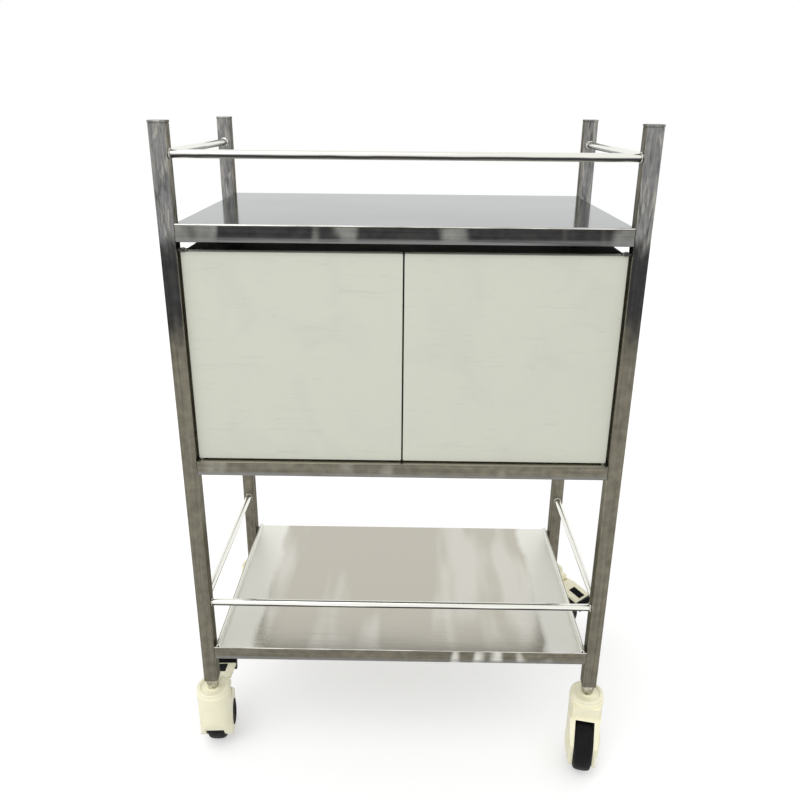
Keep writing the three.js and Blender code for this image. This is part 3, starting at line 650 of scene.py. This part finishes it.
def bright_stainless_pan():
    """Bright annealed stainless sheet, slightly wavy from folding.

    It is a warm grey, with a painted near white reflection band along each side where the sheet bows,
    and faint painted reflections of upright waves between them.
    """
    material, tree = new_material("bright_stainless_pan")
    left, right = (corner.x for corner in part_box("lower_shelf"))
    across = wandering(tree, place_along(tree, "X"), PAN_DRIFT, PAN_DRIFT_REACH)
    # Painted reflection: faint upright waves of lamp colour
    wave_reflection = share_of(tree, patches(tree, PAN_WAVE_REFLECTION, 2.0), *PAN_WAVE_REFLECTION_LIMITS, 0.0, PAN_WAVE_REFLECTION_SHARE)
    shade = mixed(tree, wave_reflection, linear(PAN_TONE), linear(MIRRORED_LAMP))
    # Painted reflection: a near white band along each side
    reflection_band = sum_of(tree,
                 share_of(tree, across, left + PAN_REFLECTION_BAND_START, left + PAN_REFLECTION_BAND_END),
                 share_of(tree, across, right - PAN_REFLECTION_BAND_START, right - PAN_REFLECTION_BAND_END))
    shade = mixed(tree, reflection_band, shade, linear(MIRRORED_LAMP))
    lines = patches(tree, ROLLING_LINES, 2.0)
    finish_surface(tree, {
        "Base Color": shade,
        "Metallic": 1.0,
        "Roughness": sum_of(tree, share_of(tree, lines, *LINE_LIMITS, 0.14, 0.24),
                            product(tree, reflection_band, PAN_BAND_SMEAR))},
        lines, ROLLING_DEPTH, 0.08)
    return material


def rolled_bright_edge():
    """Rolled edge of the shelf sheet: a painted near white highlight line with breaks in it."""
    material, tree = new_material("rolled_bright_edge")
    # Painted highlight along the rolled edge, broken by soft patches
    highlight_breaks = patches(tree, CROSS_DRIFT, 3.0)
    shade = add_node(tree, "ShaderNodeValToRGB", {"Fac": highlight_breaks}, [
        (0.32, "#A9A79D"), (0.48, "#CFCDC4"), (0.62, "#ECEBE5")]).outputs["Color"]
    finish_surface(tree, {"Base Color": shade, "Metallic": 1.0, "Roughness": 0.22}, highlight_breaks, LINE_DEPTH, 0.1)
    return material


DOOR_CLOUDS = (100 * MM, 100 * MM, 120 * MM)
SCUFF_SIZE = (60 * MM, 60 * MM, 5 * MM)
# Orange peel is about 1 mm across and is drawn at 2 mm, so that it shows
PEEL_SIZE = (2 * MM, 2 * MM, 2 * MM)
PEEL_DEPTH = 0.06 * MM
# Painted shade: the heights of a darker band along the doors' top fold
DOOR_TOP_SHADE = (964 * MM, 971 * MM)


def powder_coated_door(context):
    """Steel door with a satin powder coat: pale grey green, orange-peel skin, faint rubbed scuffs and a
    painted shade along its top fold.
    """
    material, tree = new_material("powder_coated_door")
    base = tuple(context.scene.trolley_colours.door_paint)
    clouds = patches(tree, DOOR_CLOUDS, 4.0, 0.8)
    shade = mixed(tree, share_of(tree, clouds, 0.45, 0.75, 0.0, 0.5), base, linear("#C6C9BC"))
    scuffs = share_of(tree, patches(tree, SCUFF_SIZE, 5.0, 1.2, 3.0), 0.60, 0.68, 0.0, 0.2)
    shade = mixed(tree, scuffs, shade, linear("#B4B7AA"))
    # Painted shade: darker along the top fold
    top_fold_shade = share_of(tree, place_along(tree, "Z"), *DOOR_TOP_SHADE, 0.0, 0.4)
    shade = mixed(tree, top_fold_shade, shade, linear("#B0B2A6"))
    peel = patches(tree, PEEL_SIZE, 2.0)
    finish_surface(tree, {
        "Base Color": shade,
        "Roughness": share_of(tree, clouds, 0.3, 0.7, 0.42, 0.52),
        "Specular IOR Level": 0.4}, peel, PEEL_DEPTH, 0.12)
    return material


PLATE_CLOUD = (8 * MM, 8 * MM, 8 * MM)
PLATE_DEPTH = 0.1 * MM


def zinc_plated_steel():
    """Bright zinc plate on turned steel: cool silver with a faint cloud."""
    material, tree = new_material("zinc_plated_steel")
    cloud = patches(tree, PLATE_CLOUD, 3.0)
    shade = add_node(tree, "ShaderNodeValToRGB", {"Fac": cloud}, [
        (0.3, "#7E7C70"), (0.5, "#B5B3A8"), (0.7, "#DEDDD4")]).outputs["Color"]
    finish_surface(tree, {"Base Color": shade, "Metallic": 1.0, "Roughness": 0.28}, cloud, PLATE_DEPTH, 0.2)
    return material


GRIME_SIZE = (20 * MM, 20 * MM, 30 * MM)
# Moulding grain is about 0.3 mm and is drawn at 1 mm, so that it shows
GRAIN_SIZE = (1 * MM, 1 * MM, 1 * MM)
GRAIN_DEPTH = 0.05 * MM
# How deep red, green and blue light goes into the nylon
NYLON_DEPTHS = (4 * MM, 3 * MM, 2 * MM)


def moulded_cream_nylon(context):
    """Injection-moulded nylon: warm cream, softly glossy, finely grained, a little darker in grime."""
    material, tree = new_material("moulded_cream_nylon")
    base = tuple(context.scene.trolley_colours.castor_plastic)
    grime = patches(tree, GRIME_SIZE, 4.0)
    shade = mixed(tree, share_of(tree, grime, 0.5, 0.8, 0.0, 0.3), base, linear("#DDD6B0"))
    grain = patches(tree, GRAIN_SIZE, 2.0)
    finish_surface(tree, {
        "Base Color": shade,
        "Roughness": share_of(tree, grime, 0.3, 0.8, 0.32, 0.44),
        "IOR": 1.53,
        "Subsurface Weight": 0.04,
        "Subsurface Radius": NYLON_DEPTHS}, grain, GRAIN_DEPTH, 0.1)
    return material


def moulded_grey_plastic():
    """Glass-filled plastic, dull dark grey with a fine grain."""
    material, tree = new_material("moulded_grey_plastic")
    grain = patches(tree, GRAIN_SIZE, 2.0)
    shade = mixed(tree, share_of(tree, grain, 0.35, 0.7), linear("#4A4946"), linear("#5A5955"))
    finish_surface(tree, {"Base Color": shade, "Roughness": 0.5, "IOR": 1.5}, grain, GRAIN_DEPTH, 0.2)
    return material


DUST_SIZE = (12 * MM, 12 * MM, 12 * MM)


def moulded_rubber(context):
    """Moulded black rubber: dull, slightly grey where dust has rubbed in."""
    material, tree = new_material("moulded_rubber")
    base = tuple(context.scene.trolley_colours.tyre_rubber)
    dust = patches(tree, DUST_SIZE, 4.0)
    shade = mixed(tree, share_of(tree, dust, 0.48, 0.75, 0.0, 0.5), base, linear("#262526"))
    grain = patches(tree, GRAIN_SIZE, 2.0)
    finish_surface(tree, {
        "Base Color": shade,
        "Roughness": share_of(tree, dust, 0.3, 0.7, 0.5, 0.7),
        "Specular IOR Level": 0.14,
        "IOR": 1.52}, grain, GRAIN_DEPTH, 0.25)
    return material


def moulded_black_cover():
    """Glossy black moulded plastic of the brake's covers and treads, with faint handling marks."""
    material, tree = new_material("moulded_black_cover")
    marks = patches(tree, GRIME_SIZE, 4.0)
    shade = mixed(tree, share_of(tree, marks, 0.45, 0.7), linear("#060707"), linear("#121414"))
    grain = patches(tree, GRAIN_SIZE, 2.0)
    finish_surface(tree, {
        "Base Color": shade,
        "Roughness": share_of(tree, marks, 0.3, 0.7, 0.42, 0.56),
        "Specular IOR Level": 0.06,
        "IOR": 1.5}, grain, GRAIN_DEPTH, 0.2)
    return material


def finish(name, build, *details):
    """The material of a name, built the first time it is asked for."""
    return bpy.data.materials.get(name) or build(*details)


# Pieces


class TROLLEY_OT_frame(bpy.types.Operator):
    """Rounds and finishes the posts, their caps and the square tubes"""

    bl_idname = "trolley.frame"
    bl_label = "Posts and Tubes"

    def execute(self, context):
        edge = context.scene.trolley_sizes.tube_edge
        steel = finish("polished_upright", polished_upright)
        for corner in CORNERS:
            rounded_copy("post_" + corner, edge, BROAD_BENDS, steel)
            rounded_copy("post_cap_" + corner, edge, BROAD_BENDS, steel)
        for level in LEVELS:
            for side in SIDES:
                node = f"{level}_tube_{side}"
                if side == "front":
                    name = f"polished_{level}_tube"
                    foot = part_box(node)[0].z
                    steel = finish(name, polished_cross_tube, name, *FRONT_TUBE_TONES[level], foot)
                else:
                    steel = finish("polished_side_tube", polished_side_tube)
                rounded_copy(node, edge, BROAD_BENDS, steel)
        return {"FINISHED"}


def bar_line(node):
    """The two ends, the direction and the half thickness of a straight bar or tube, from its box."""
    low, high = (np.array(corner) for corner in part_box(node))
    along = int(np.argmax(high - low))
    start, end = (low + high) / 2, (low + high) / 2
    start[along], end[along] = low[along], high[along]
    return start, end, end - start, (high[2] - low[2]) / 2


RAIL_RINGS = 60
RAIL_SPOKES = 40


class TROLLEY_OT_rails(bpy.types.Operator):
    """Draws the round guard rails as smooth bars"""

    bl_idname = "trolley.rails"
    bl_label = "Guard Rails"

    def execute(self, context):
        steel = finish("polished_stainless_rod", polished_stainless_rod)
        for level in RAIL_LEVELS:
            for side in RAIL_SIDES:
                node = f"{level}_rail_{side}"
                start, end, _, radius = bar_line(node)
                grid = carried_circle(start, end, radius, RAIL_RINGS, RAIL_SPOKES)
                faces = grid_faces(RAIL_RINGS, RAIL_SPOKES)
                mesh = smooth_mesh(node + "_bar", grid.reshape(-1, 3), faces)
                make_piece(node + "_bar", mesh, "frame", steel, [node])
        return {"FINISHED"}


ROUND_OUTLINE = 2
SQUARE_OUTLINE = 9
RAIL_RIPPLES = 11
TUBE_RIPPLES = 24


class TROLLEY_OT_welds(bpy.types.Operator):
    """Lays the weld beads round the ends of the rails and the ground seams round those of the tubes"""

    bl_idname = "trolley.welds"
    bl_label = "Welds"

    def execute(self, context):
        sizes = context.scene.trolley_sizes
        weld = finish("ground_weld", ground_weld)
        seam = finish("brushed_seam", brushed_seam)
        rails = [f"{level}_rail_{side}" for level in RAIL_LEVELS for side in RAIL_SIDES]
        tubes = [f"{level}_tube_{side}" for level in LEVELS for side in SIDES]
        kinds = (
            ("rail_welds", rails, ROUND_OUTLINE, sizes.rail_bead, RAIL_RIPPLES, weld),
            ("tube_welds", tubes, SQUARE_OUTLINE, sizes.tube_bead, TUBE_RIPPLES, seam))
        for name, nodes, squareness, bead, ripples, metal in kinds:
            rings = []
            for number, node in enumerate(nodes):
                start, end, direction, half = bar_line(node)
                rings.append(weld_ring(start, direction, half, squareness, bead, ripples + number % 3))
                rings.append(weld_ring(end, direction, half, squareness, bead, ripples - number % 2))
            make_piece(name, ring_mesh(name, rings), "frame", metal)
        return {"FINISHED"}


EDGE_SETBACK = 0.3 * MM
EDGE_RINGS = 80
EDGE_SPOKES = 16


class TROLLEY_OT_shelves(bpy.types.Operator):
    """Finishes the top shelf and the lower pan, with their rolled front edges"""

    bl_idname = "trolley.shelves"
    bl_label = "Shelves"

    def execute(self, context):
        sizes = context.scene.trolley_sizes
        rounded_copy("top_shelf", sizes.sheet_edge, SMALL_BENDS, finish(
            "satin_stainless_sheet", satin_stainless_sheet, context))
        rounded_copy("lower_shelf", sizes.sheet_edge, SMALL_BENDS, finish(
            "bright_stainless_pan", bright_stainless_pan))
        bright = finish("rolled_bright_edge", rolled_bright_edge)
        for level in RAIL_LEVELS:
            low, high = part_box(f"{level}_tube_front")
            height = high.z + sizes.rolled_edge
            start = (low.x, low.y + EDGE_SETBACK, height)
            end = (high.x, low.y + EDGE_SETBACK, height)
            grid = carried_circle(start, end, sizes.rolled_edge, EDGE_RINGS, EDGE_SPOKES)
            name = level + "_rolled_edge"
            mesh = smooth_mesh(name, grid.reshape(-1, 3), grid_faces(EDGE_RINGS, EDGE_SPOKES))
            make_piece(name, mesh, "frame", bright)
        return {"FINISHED"}


class TROLLEY_OT_cabinet(bpy.types.Operator):
    """Finishes the cabinet's sheets, doors, pins and catch"""

    bl_idname = "trolley.cabinet"
    bl_label = "Cabinet"

    def execute(self, context):
        sizes = context.scene.trolley_sizes
        sheet = finish("shaded_cabinet_sheet", shaded_cabinet_sheet)
        paint = finish("powder_coated_door", powder_coated_door, context)
        for node in ("cabinet_floor", "cabinet_back", "cabinet_side_left", "cabinet_side_right"):
            rounded_copy(node, sizes.sheet_edge, PLAIN_BENDS, sheet)
        for side in ("left", "right"):
            rounded_copy("door_" + side, sizes.door_edge, BROAD_BENDS, paint)
            rounded_copy("hinge_pin_" + side, sizes.hardware_edge, PLAIN_BENDS, sheet)
        rounded_copy("door_catch", sizes.hardware_edge, SMALL_BENDS, finish(
            "moulded_grey_plastic", moulded_grey_plastic))
        return {"FINISHED"}


# Sizes of the castors, measured from the floor and from the swivel axis
BARREL_RADIUS = 31.5 * MM
BARREL_WALL = 1.4 * MM
BARREL_TOP = 126.0 * MM
ARCH_FOOT = 25.0 * MM
ARCH_RISE = 43.0 * MM
ARCH_SHARES = (0.45, 0.125)
CAP_EDGE = 32.1 * MM
CAP_FOOT = 125.96 * MM
CAP_TOP = 142.96 * MM
CAP_BAND = 8.0 * MM
CAP_STEP = 1.3 * MM
DISH_WALL = 5.0 * MM
DISH_DEPTH = 2.2 * MM
DISH_BOSS = 12.5 * MM
CAP_HOLE = 6.6 * MM
CAP_WALL = 1.2 * MM
CHEEK_HALF = 28.57 * MM
CHEEK_LEAN = math.radians(5.23)
COVER_HOLE = 10.6 * MM
COVER_EDGE = 25.0 * MM
COVER_SINK = 0.4 * MM
TYRE_HALF = 16.0 * MM
RIM_RADIUS = 37.0 * MM
RIM_INNER = 32.0 * MM
RIM_HALF = 13.0 * MM
WEB_HALF = 4.5 * MM
BOSS_RADIUS = 12.0 * MM
BOSS_HALF = 17.1 * MM
HUB_BORE = 5.35 * MM
TYRE_SQUARENESS = 2.6
ARCH_LIFT = 8.0 * MM
ARCH_REACH = 80.0 * MM

# Places on a pedal, outwards from its pivot, above it and across it, with the pedal pressed
PEDAL_TURN = math.radians(17)
PLATE_TOP = 9.8 * MM
PLATE_RISE_SHARE = 3.5 / 62
TOE_START = 62.5 * MM
PAD_START = 25.0 * MM
PAD_END = 56.5 * MM
PAD_HALF = 9.4 * MM
PAD_STAND = 0.3 * MM


def castor_axes(corner):
    """Where a castor swivels, the ways in which its wheel trails and lies across, and the wheel's middle."""
    swivel = np.array(JOINTS["swivel_" + corner]["pos_m"])
    wheel = np.array(JOINTS["roll_" + corner]["pos_m"])
    across = np.array(JOINTS["roll_" + corner]["axis"], float)
    trailing = (wheel - swivel) * (1.0, 1.0, 0.0)
    return swivel * (1.0, 1.0, 0.0), trailing / np.linalg.norm(trailing), across, wheel


def arch_lift(trail):
    """How far the wheel arch rises over its straight cut: with the cube of the way ahead of the swivel."""
    return ARCH_LIFT * np.clip(-trail / BARREL_RADIUS, 0, 1) ** 3


def raise_arch(piece, corner):
    """Lifts the low points at the front of a housing along the rounded wheel arch."""
    swivel, trailing, _, _ = castor_axes(corner)
    points = np.empty(len(piece.data.vertices) * 3)
    piece.data.vertices.foreach_get("co", points)
    points = points.reshape(-1, 3)
    low = points[:, 2] < ARCH_REACH
    points[:, 2] += low * arch_lift((points - swivel) @ trailing)
    piece.data.vertices.foreach_set("co", points.ravel())


# How finely the castors' round skins are drawn
BARREL_STATIONS = 65
ARCH_STATIONS = 60
CAP_SPOKES = 96
COVER_RINGS = 14
COVER_SPOKES = 72
COVER_ROUNDNESS = 0.6
TYRE_STATIONS = 44
TYRE_SPOKES = 96
HUB_SPOKES = 72


def castor_barrel(corner, skin):
    """The round front of a housing as a thin shell.

    A slice through the wall is carried round the half circle from one cheek to the other: point =
    -radius cos a trailing + radius sin a across + height. Its foot follows the wheel arch, which is a
    bend of second degree in the height over the trailing way.
    """
    swivel, trailing, across, _ = castor_axes(corner)
    bend = np.linspace(0, 1, ARCH_STATIONS)
    across_share, rise_share = ARCH_SHARES
    arch_run = -BARREL_RADIUS * ((1 - bend) ** 2 + 2 * bend * (1 - bend) * across_share)
    arch_height = ARCH_FOOT + ARCH_RISE * ((1 - bend) ** 2 + 2 * bend * (1 - bend) * rise_share)
    angles = np.linspace(-math.pi / 2, math.pi / 2, BARREL_STATIONS)
    run = -BARREL_RADIUS * np.cos(angles)
    foot = np.interp(run, arch_run, arch_height) + arch_lift(run) - skin
    top = np.full_like(foot, BARREL_TOP)
    outer, inner = BARREL_RADIUS + skin, BARREL_RADIUS - BARREL_WALL
    radii = np.array([outer, outer, inner, inner])[None, :, None]
    heights = np.stack([foot, top, top, foot], axis=1)[:, :, None]
    turn = angles[:, None, None]
    return swivel + radii * (np.sin(turn) * across - np.cos(turn) * trailing) + heights * (0, 0, 1)


def castor_cap(corner, skin):
    """The round cap turned round the swivel axis.

    Its section runs over band, step, rim, dish and boss, and back through the wall.
    """
    swivel, _, _, _ = castor_axes(corner)
    edge, step, rim = (CAP_EDGE + skin - turns * CAP_STEP for turns in range(3))
    top, dish = CAP_TOP + skin, CAP_TOP - DISH_DEPTH + skin
    profile = [
        (CAP_FOOT, edge - CAP_WALL),
        (CAP_FOOT, edge),
        (CAP_FOOT + CAP_BAND, edge),
        (CAP_FOOT + CAP_BAND + CAP_STEP, step),
        (top - CAP_STEP, step),
        (top, rim),
        (top, rim - DISH_WALL),
        (dish, rim - DISH_WALL - DISH_DEPTH),
        (dish, DISH_BOSS + skin),
        (top, DISH_BOSS + skin),
        (top, CAP_HOLE),
        (top - CAP_WALL, CAP_HOLE)]
    return revolved(profile, swivel, (0, 0, 1), CAP_SPOKES)


def axle_cover(corner, side, rise):
    """A round cover over a cheek with a hole for the axle's head.

    Its section rises as the sine of the share of the way from the hole to the edge, and is turned
    round the cheek's own normal.
    """
    _, trailing, across, wheel = castor_axes(corner)
    normal = side * math.cos(CHEEK_LEAN) * across + math.sin(CHEEK_LEAN) * trailing
    shares = np.linspace(0, 1, COVER_RINGS)
    radii = COVER_HOLE + shares * (COVER_EDGE - COVER_HOLE)
    bulge = rise * np.sin(math.pi * shares) ** COVER_ROUNDNESS
    top = np.stack([bulge, radii], axis=1)
    base = [(-COVER_SINK, COVER_EDGE), (-COVER_SINK, COVER_HOLE)]
    centre = wheel + side * CHEEK_HALF * across
    return revolved(np.concatenate([top, base]), centre, normal, COVER_SPOKES)


def tyre_surface(corner):
    """A tyre turned round its axle.

    Its section is a superellipse between rim and tread: half_width sign(cos a) |cos a|^(2/n) across
    and the same with sine outwards.
    """
    _, _, across, wheel = castor_axes(corner)
    angles = np.linspace(0, 2 * math.pi, TYRE_STATIONS, endpoint=False)
    power = 2 / TYRE_SQUARENESS
    wide = TYRE_HALF * np.sign(np.cos(angles)) * np.abs(np.cos(angles)) ** power
    high = np.sign(np.sin(angles)) * np.abs(np.sin(angles)) ** power
    middle, half = (wheel[2] + RIM_RADIUS) / 2, (wheel[2] - RIM_RADIUS) / 2
    section = np.stack([wide, middle + half * high], axis=1)
    return revolved(section, wheel, across, TYRE_SPOKES)


def hub_surface(corner):
    """A hub turned round its axle: rim, web and boss in one section."""
    _, _, across, wheel = castor_axes(corner)
    half = [
        (RIM_HALF, RIM_RADIUS),
        (RIM_HALF, RIM_INNER),
        (WEB_HALF, RIM_INNER),
        (WEB_HALF, BOSS_RADIUS),
        (BOSS_HALF, BOSS_RADIUS),
        (BOSS_HALF, HUB_BORE)]
    mirrored = [(-along, radius) for along, radius in reversed(half)]
    return revolved(half + mirrored, wheel, across, HUB_SPOKES)


def blacken_treads(piece, corner, black):
    """Gives a pedal's toe block and tread pad their black finish.

    Each face's middle is turned back into the pedal's own frame, outwards from the pivot and above
    it, and the faces beyond the plate's end or on top of the pad are picked.
    """
    piece.data.materials.append(black)
    _, trailing, across, _ = castor_axes(corner)
    middles = np.empty(len(piece.data.polygons) * 3)
    piece.data.polygons.foreach_get("center", middles)
    away = middles.reshape(-1, 3) - np.array(JOINTS["brake_" + corner]["pos_m"])
    out = away @ trailing * math.cos(PEDAL_TURN) - away[:, 2] * math.sin(PEDAL_TURN)
    above = away @ trailing * math.sin(PEDAL_TURN) + away[:, 2] * math.cos(PEDAL_TURN)
    standing = above > PLATE_TOP + PLATE_RISE_SHARE * out + PAD_STAND
    inside = (out > PAD_START) & (out < PAD_END) & (np.abs(away @ across) < PAD_HALF)
    picked = (out > TOE_START) | (standing & inside)
    piece.data.polygons.foreach_set("material_index", picked.astype(np.int32))


class TROLLEY_OT_castors(bpy.types.Operator):
    """Finishes the castors: housings, stems, axles, hubs, tyres and brake pedals"""

    bl_idname = "trolley.castors"
    bl_label = "Castors"

    def execute(self, context):
        sizes = context.scene.trolley_sizes
        nylon = finish("moulded_cream_nylon", moulded_cream_nylon, context)
        zinc = finish("zinc_plated_steel", zinc_plated_steel)
        grey = finish("moulded_grey_plastic", moulded_grey_plastic)
        rubber = finish("moulded_rubber", moulded_rubber, context)
        black = finish("moulded_black_cover", moulded_black_cover)
        for corner in CORNERS:
            swivel, wheel = "swivel_" + corner, "wheel_" + corner
            housing = rounded_copy(
                "castor_housing_" + corner, sizes.moulding_edge, 2, nylon)
            raise_arch(housing, corner)
            rounded_copy("castor_stem_" + corner, sizes.hardware_edge, SMALL_BENDS, zinc)
            rounded_copy("wheel_axle_" + corner, sizes.hardware_edge, SMALL_BENDS, zinc)
            name = "tyre_" + corner
            mesh = ring_mesh(name, [tyre_surface(corner)])
            make_piece(name, mesh, wheel, rubber, ["wheel_tyre_" + corner])
            name = "hub_" + corner
            mesh = ring_mesh(name, [hub_surface(corner)])
            make_piece(name, mesh, wheel, grey, ["wheel_hub_" + corner])
            name = "castor_cap_" + corner
            mesh = ring_mesh(name, [castor_cap(corner, sizes.skin)])
            piece = make_piece(name, mesh, swivel, nylon)
            round_edges(piece, sizes.hardware_edge, 2)
            name = "castor_barrel_" + corner
            grid = castor_barrel(corner, sizes.skin)
            mesh = smooth_mesh(name, grid.reshape(-1, 3), grid_faces(*grid.shape[:2]))
            make_piece(name, mesh, swivel, nylon)
            name = "axle_covers_" + corner
            mesh = ring_mesh(name, [axle_cover(corner, side, sizes.cover_rise) for side in (-1, 1)])
            cover = black if corner in BRAKED else nylon
            make_piece(name, mesh, swivel, cover)
        for corner in BRAKED:
            pedal = rounded_copy(
                "brake_pedal_" + corner, sizes.moulding_edge, 2, nylon)
            blacken_treads(pedal, corner, black)
        return {"FINISHED"}


FLOOR_HALF = 8.0
LAMP_SIZE = 2.2
LAMP_PLACE = (-1.2, -1.6, 3.0)
LAMP_AIM = (0.0, 0.0, 0.6)


# Width of the camera's film, in the millimetres that Blender counts it in
SENSOR_WIDTH = 36.0


class TROLLEY_OT_stage(bpy.types.Operator):
    """Sets the floor, the soft light and the camera"""

    bl_idname = "trolley.stage"
    bl_label = "Stage"

    def execute(self, context):
        scene = context.scene
        settings = scene.trolley_stage
        scene.view_settings.view_transform = "Standard"
        world = bpy.data.worlds.new("even_daylight")
        world.use_nodes = True
        scene.world = world
        tree = world.node_tree
        tree.nodes.clear()
        strength = add_node(tree, "ShaderNodeMapRange", {
            "Value": seen_directly(tree), "To Min": settings.daylight, "To Max": 1.0}).outputs["Result"]
        light = add_node(tree, "ShaderNodeBackground", {"Color": linear("#FFFFFF"), "Strength": strength})
        add_node(tree, "ShaderNodeOutputWorld", {"Surface": light.outputs["Background"]})

        mesh = bpy.data.meshes.new("studio_floor")
        corners = [(side * FLOOR_HALF, depth * FLOOR_HALF, 0) for side, depth in (
            (-1, -1), (1, -1), (1, 1), (-1, 1))]
        mesh.from_pydata(corners, [], [(0, 1, 2, 3)])
        mesh.materials.append(studio_floor(settings.floor_glow))
        floor = bpy.data.objects.new("studio_floor", mesh)
        scene.collection.objects.link(floor)

        lamp = bpy.data.lights.new("soft_box", "AREA")
        lamp.energy = settings.softbox
        lamp.size = LAMP_SIZE
        box = bpy.data.objects.new("soft_box", lamp)
        facing_back = (Vector(LAMP_PLACE) - Vector(LAMP_AIM)).to_track_quat("Z", "Y")
        box.matrix_world = Matrix.Translation(LAMP_PLACE) @ facing_back.to_matrix().to_4x4()
        scene.collection.objects.link(box)

        view = bpy.data.cameras.new("camera")
        view.lens = settings.lens
        view.sensor_width = SENSOR_WIDTH
        camera = bpy.data.objects.new("camera", view)
        camera.matrix_world = (
            Matrix.Translation(settings.place)
            @ Matrix.Rotation(settings.turn, 4, "Z")
            @ Matrix.Rotation(settings.tilt, 4, "X")
            @ Matrix.Rotation(settings.roll, 4, "Y")
            @ Matrix.Rotation(math.pi / 2, 4, "X"))
        scene.collection.objects.link(camera)
        scene.camera = camera
        return {"FINISHED"}


def seen_directly(tree):
    """One where a camera, glossy or transmitted ray looks, and zero where light is gathered."""
    rays = add_node(tree, "ShaderNodeLightPath").outputs
    either = add_node(tree, "ShaderNodeMath", {
        0: rays["Is Camera Ray"], 1: rays["Is Glossy Ray"]}, operation="MAXIMUM").outputs[0]
    return add_node(tree, "ShaderNodeMath", {
        0: either, 1: rays["Is Transmission Ray"]}, operation="MAXIMUM").outputs[0]


def studio_floor(glow_strength):
    """Matt white studio floor that keeps a soft shadow and is topped up to white for the eye."""
    material, tree = new_material("studio_floor")
    matt = add_node(tree, "ShaderNodeBsdfDiffuse", {"Color": linear("#D8D8D8")}).outputs["BSDF"]
    glow = add_node(tree, "ShaderNodeEmission", {
        "Color": linear("#FFFFFF"),
        "Strength": share_of(tree, seen_directly(tree), 0.0, 1.0, 0.0, glow_strength)})
    both = add_node(tree, "ShaderNodeAddShader", {0: matt, 1: glow.outputs["Emission"]})
    add_node(tree, "ShaderNodeOutputMaterial", {"Surface": both.outputs["Shader"]})
    return material


class TROLLEY_PT_panel(bpy.types.Panel):
    """Lists the steps that dress the trolley"""

    bl_idname = "TROLLEY_PT_panel"
    bl_label = "Medicine Trolley"
    bl_space_type = "VIEW_3D"
    bl_region_type = "UI"
    bl_category = "Trolley"

    def draw(self, context):
        for step in STEPS:
            self.layout.operator(step.bl_idname)


STEPS = (
    TROLLEY_OT_frame,
    TROLLEY_OT_rails,
    TROLLEY_OT_welds,
    TROLLEY_OT_shelves,
    TROLLEY_OT_cabinet,
    TROLLEY_OT_castors,
    TROLLEY_OT_stage,
)
CLASSES = (TrolleySizes, TrolleyColours, TrolleyStage, *STEPS, TROLLEY_PT_panel)


def register():
    for kind in CLASSES:
        bpy.utils.register_class(kind)
    bpy.types.Scene.trolley_sizes = bpy.props.PointerProperty(type=TrolleySizes)
    bpy.types.Scene.trolley_colours = bpy.props.PointerProperty(type=TrolleyColours)
    bpy.types.Scene.trolley_stage = bpy.props.PointerProperty(type=TrolleyStage)


def unregister():
    del bpy.types.Scene.trolley_stage
    del bpy.types.Scene.trolley_colours
    del bpy.types.Scene.trolley_sizes
    for kind in reversed(CLASSES):
        bpy.utils.unregister_class(kind)


def main():
    register()
    bpy.ops.trolley.frame()
    bpy.ops.trolley.rails()
    bpy.ops.trolley.welds()
    bpy.ops.trolley.shelves()
    bpy.ops.trolley.cabinet()
    bpy.ops.trolley.castors()
    bpy.ops.trolley.stage()


if __name__ == "__main__":
    main()
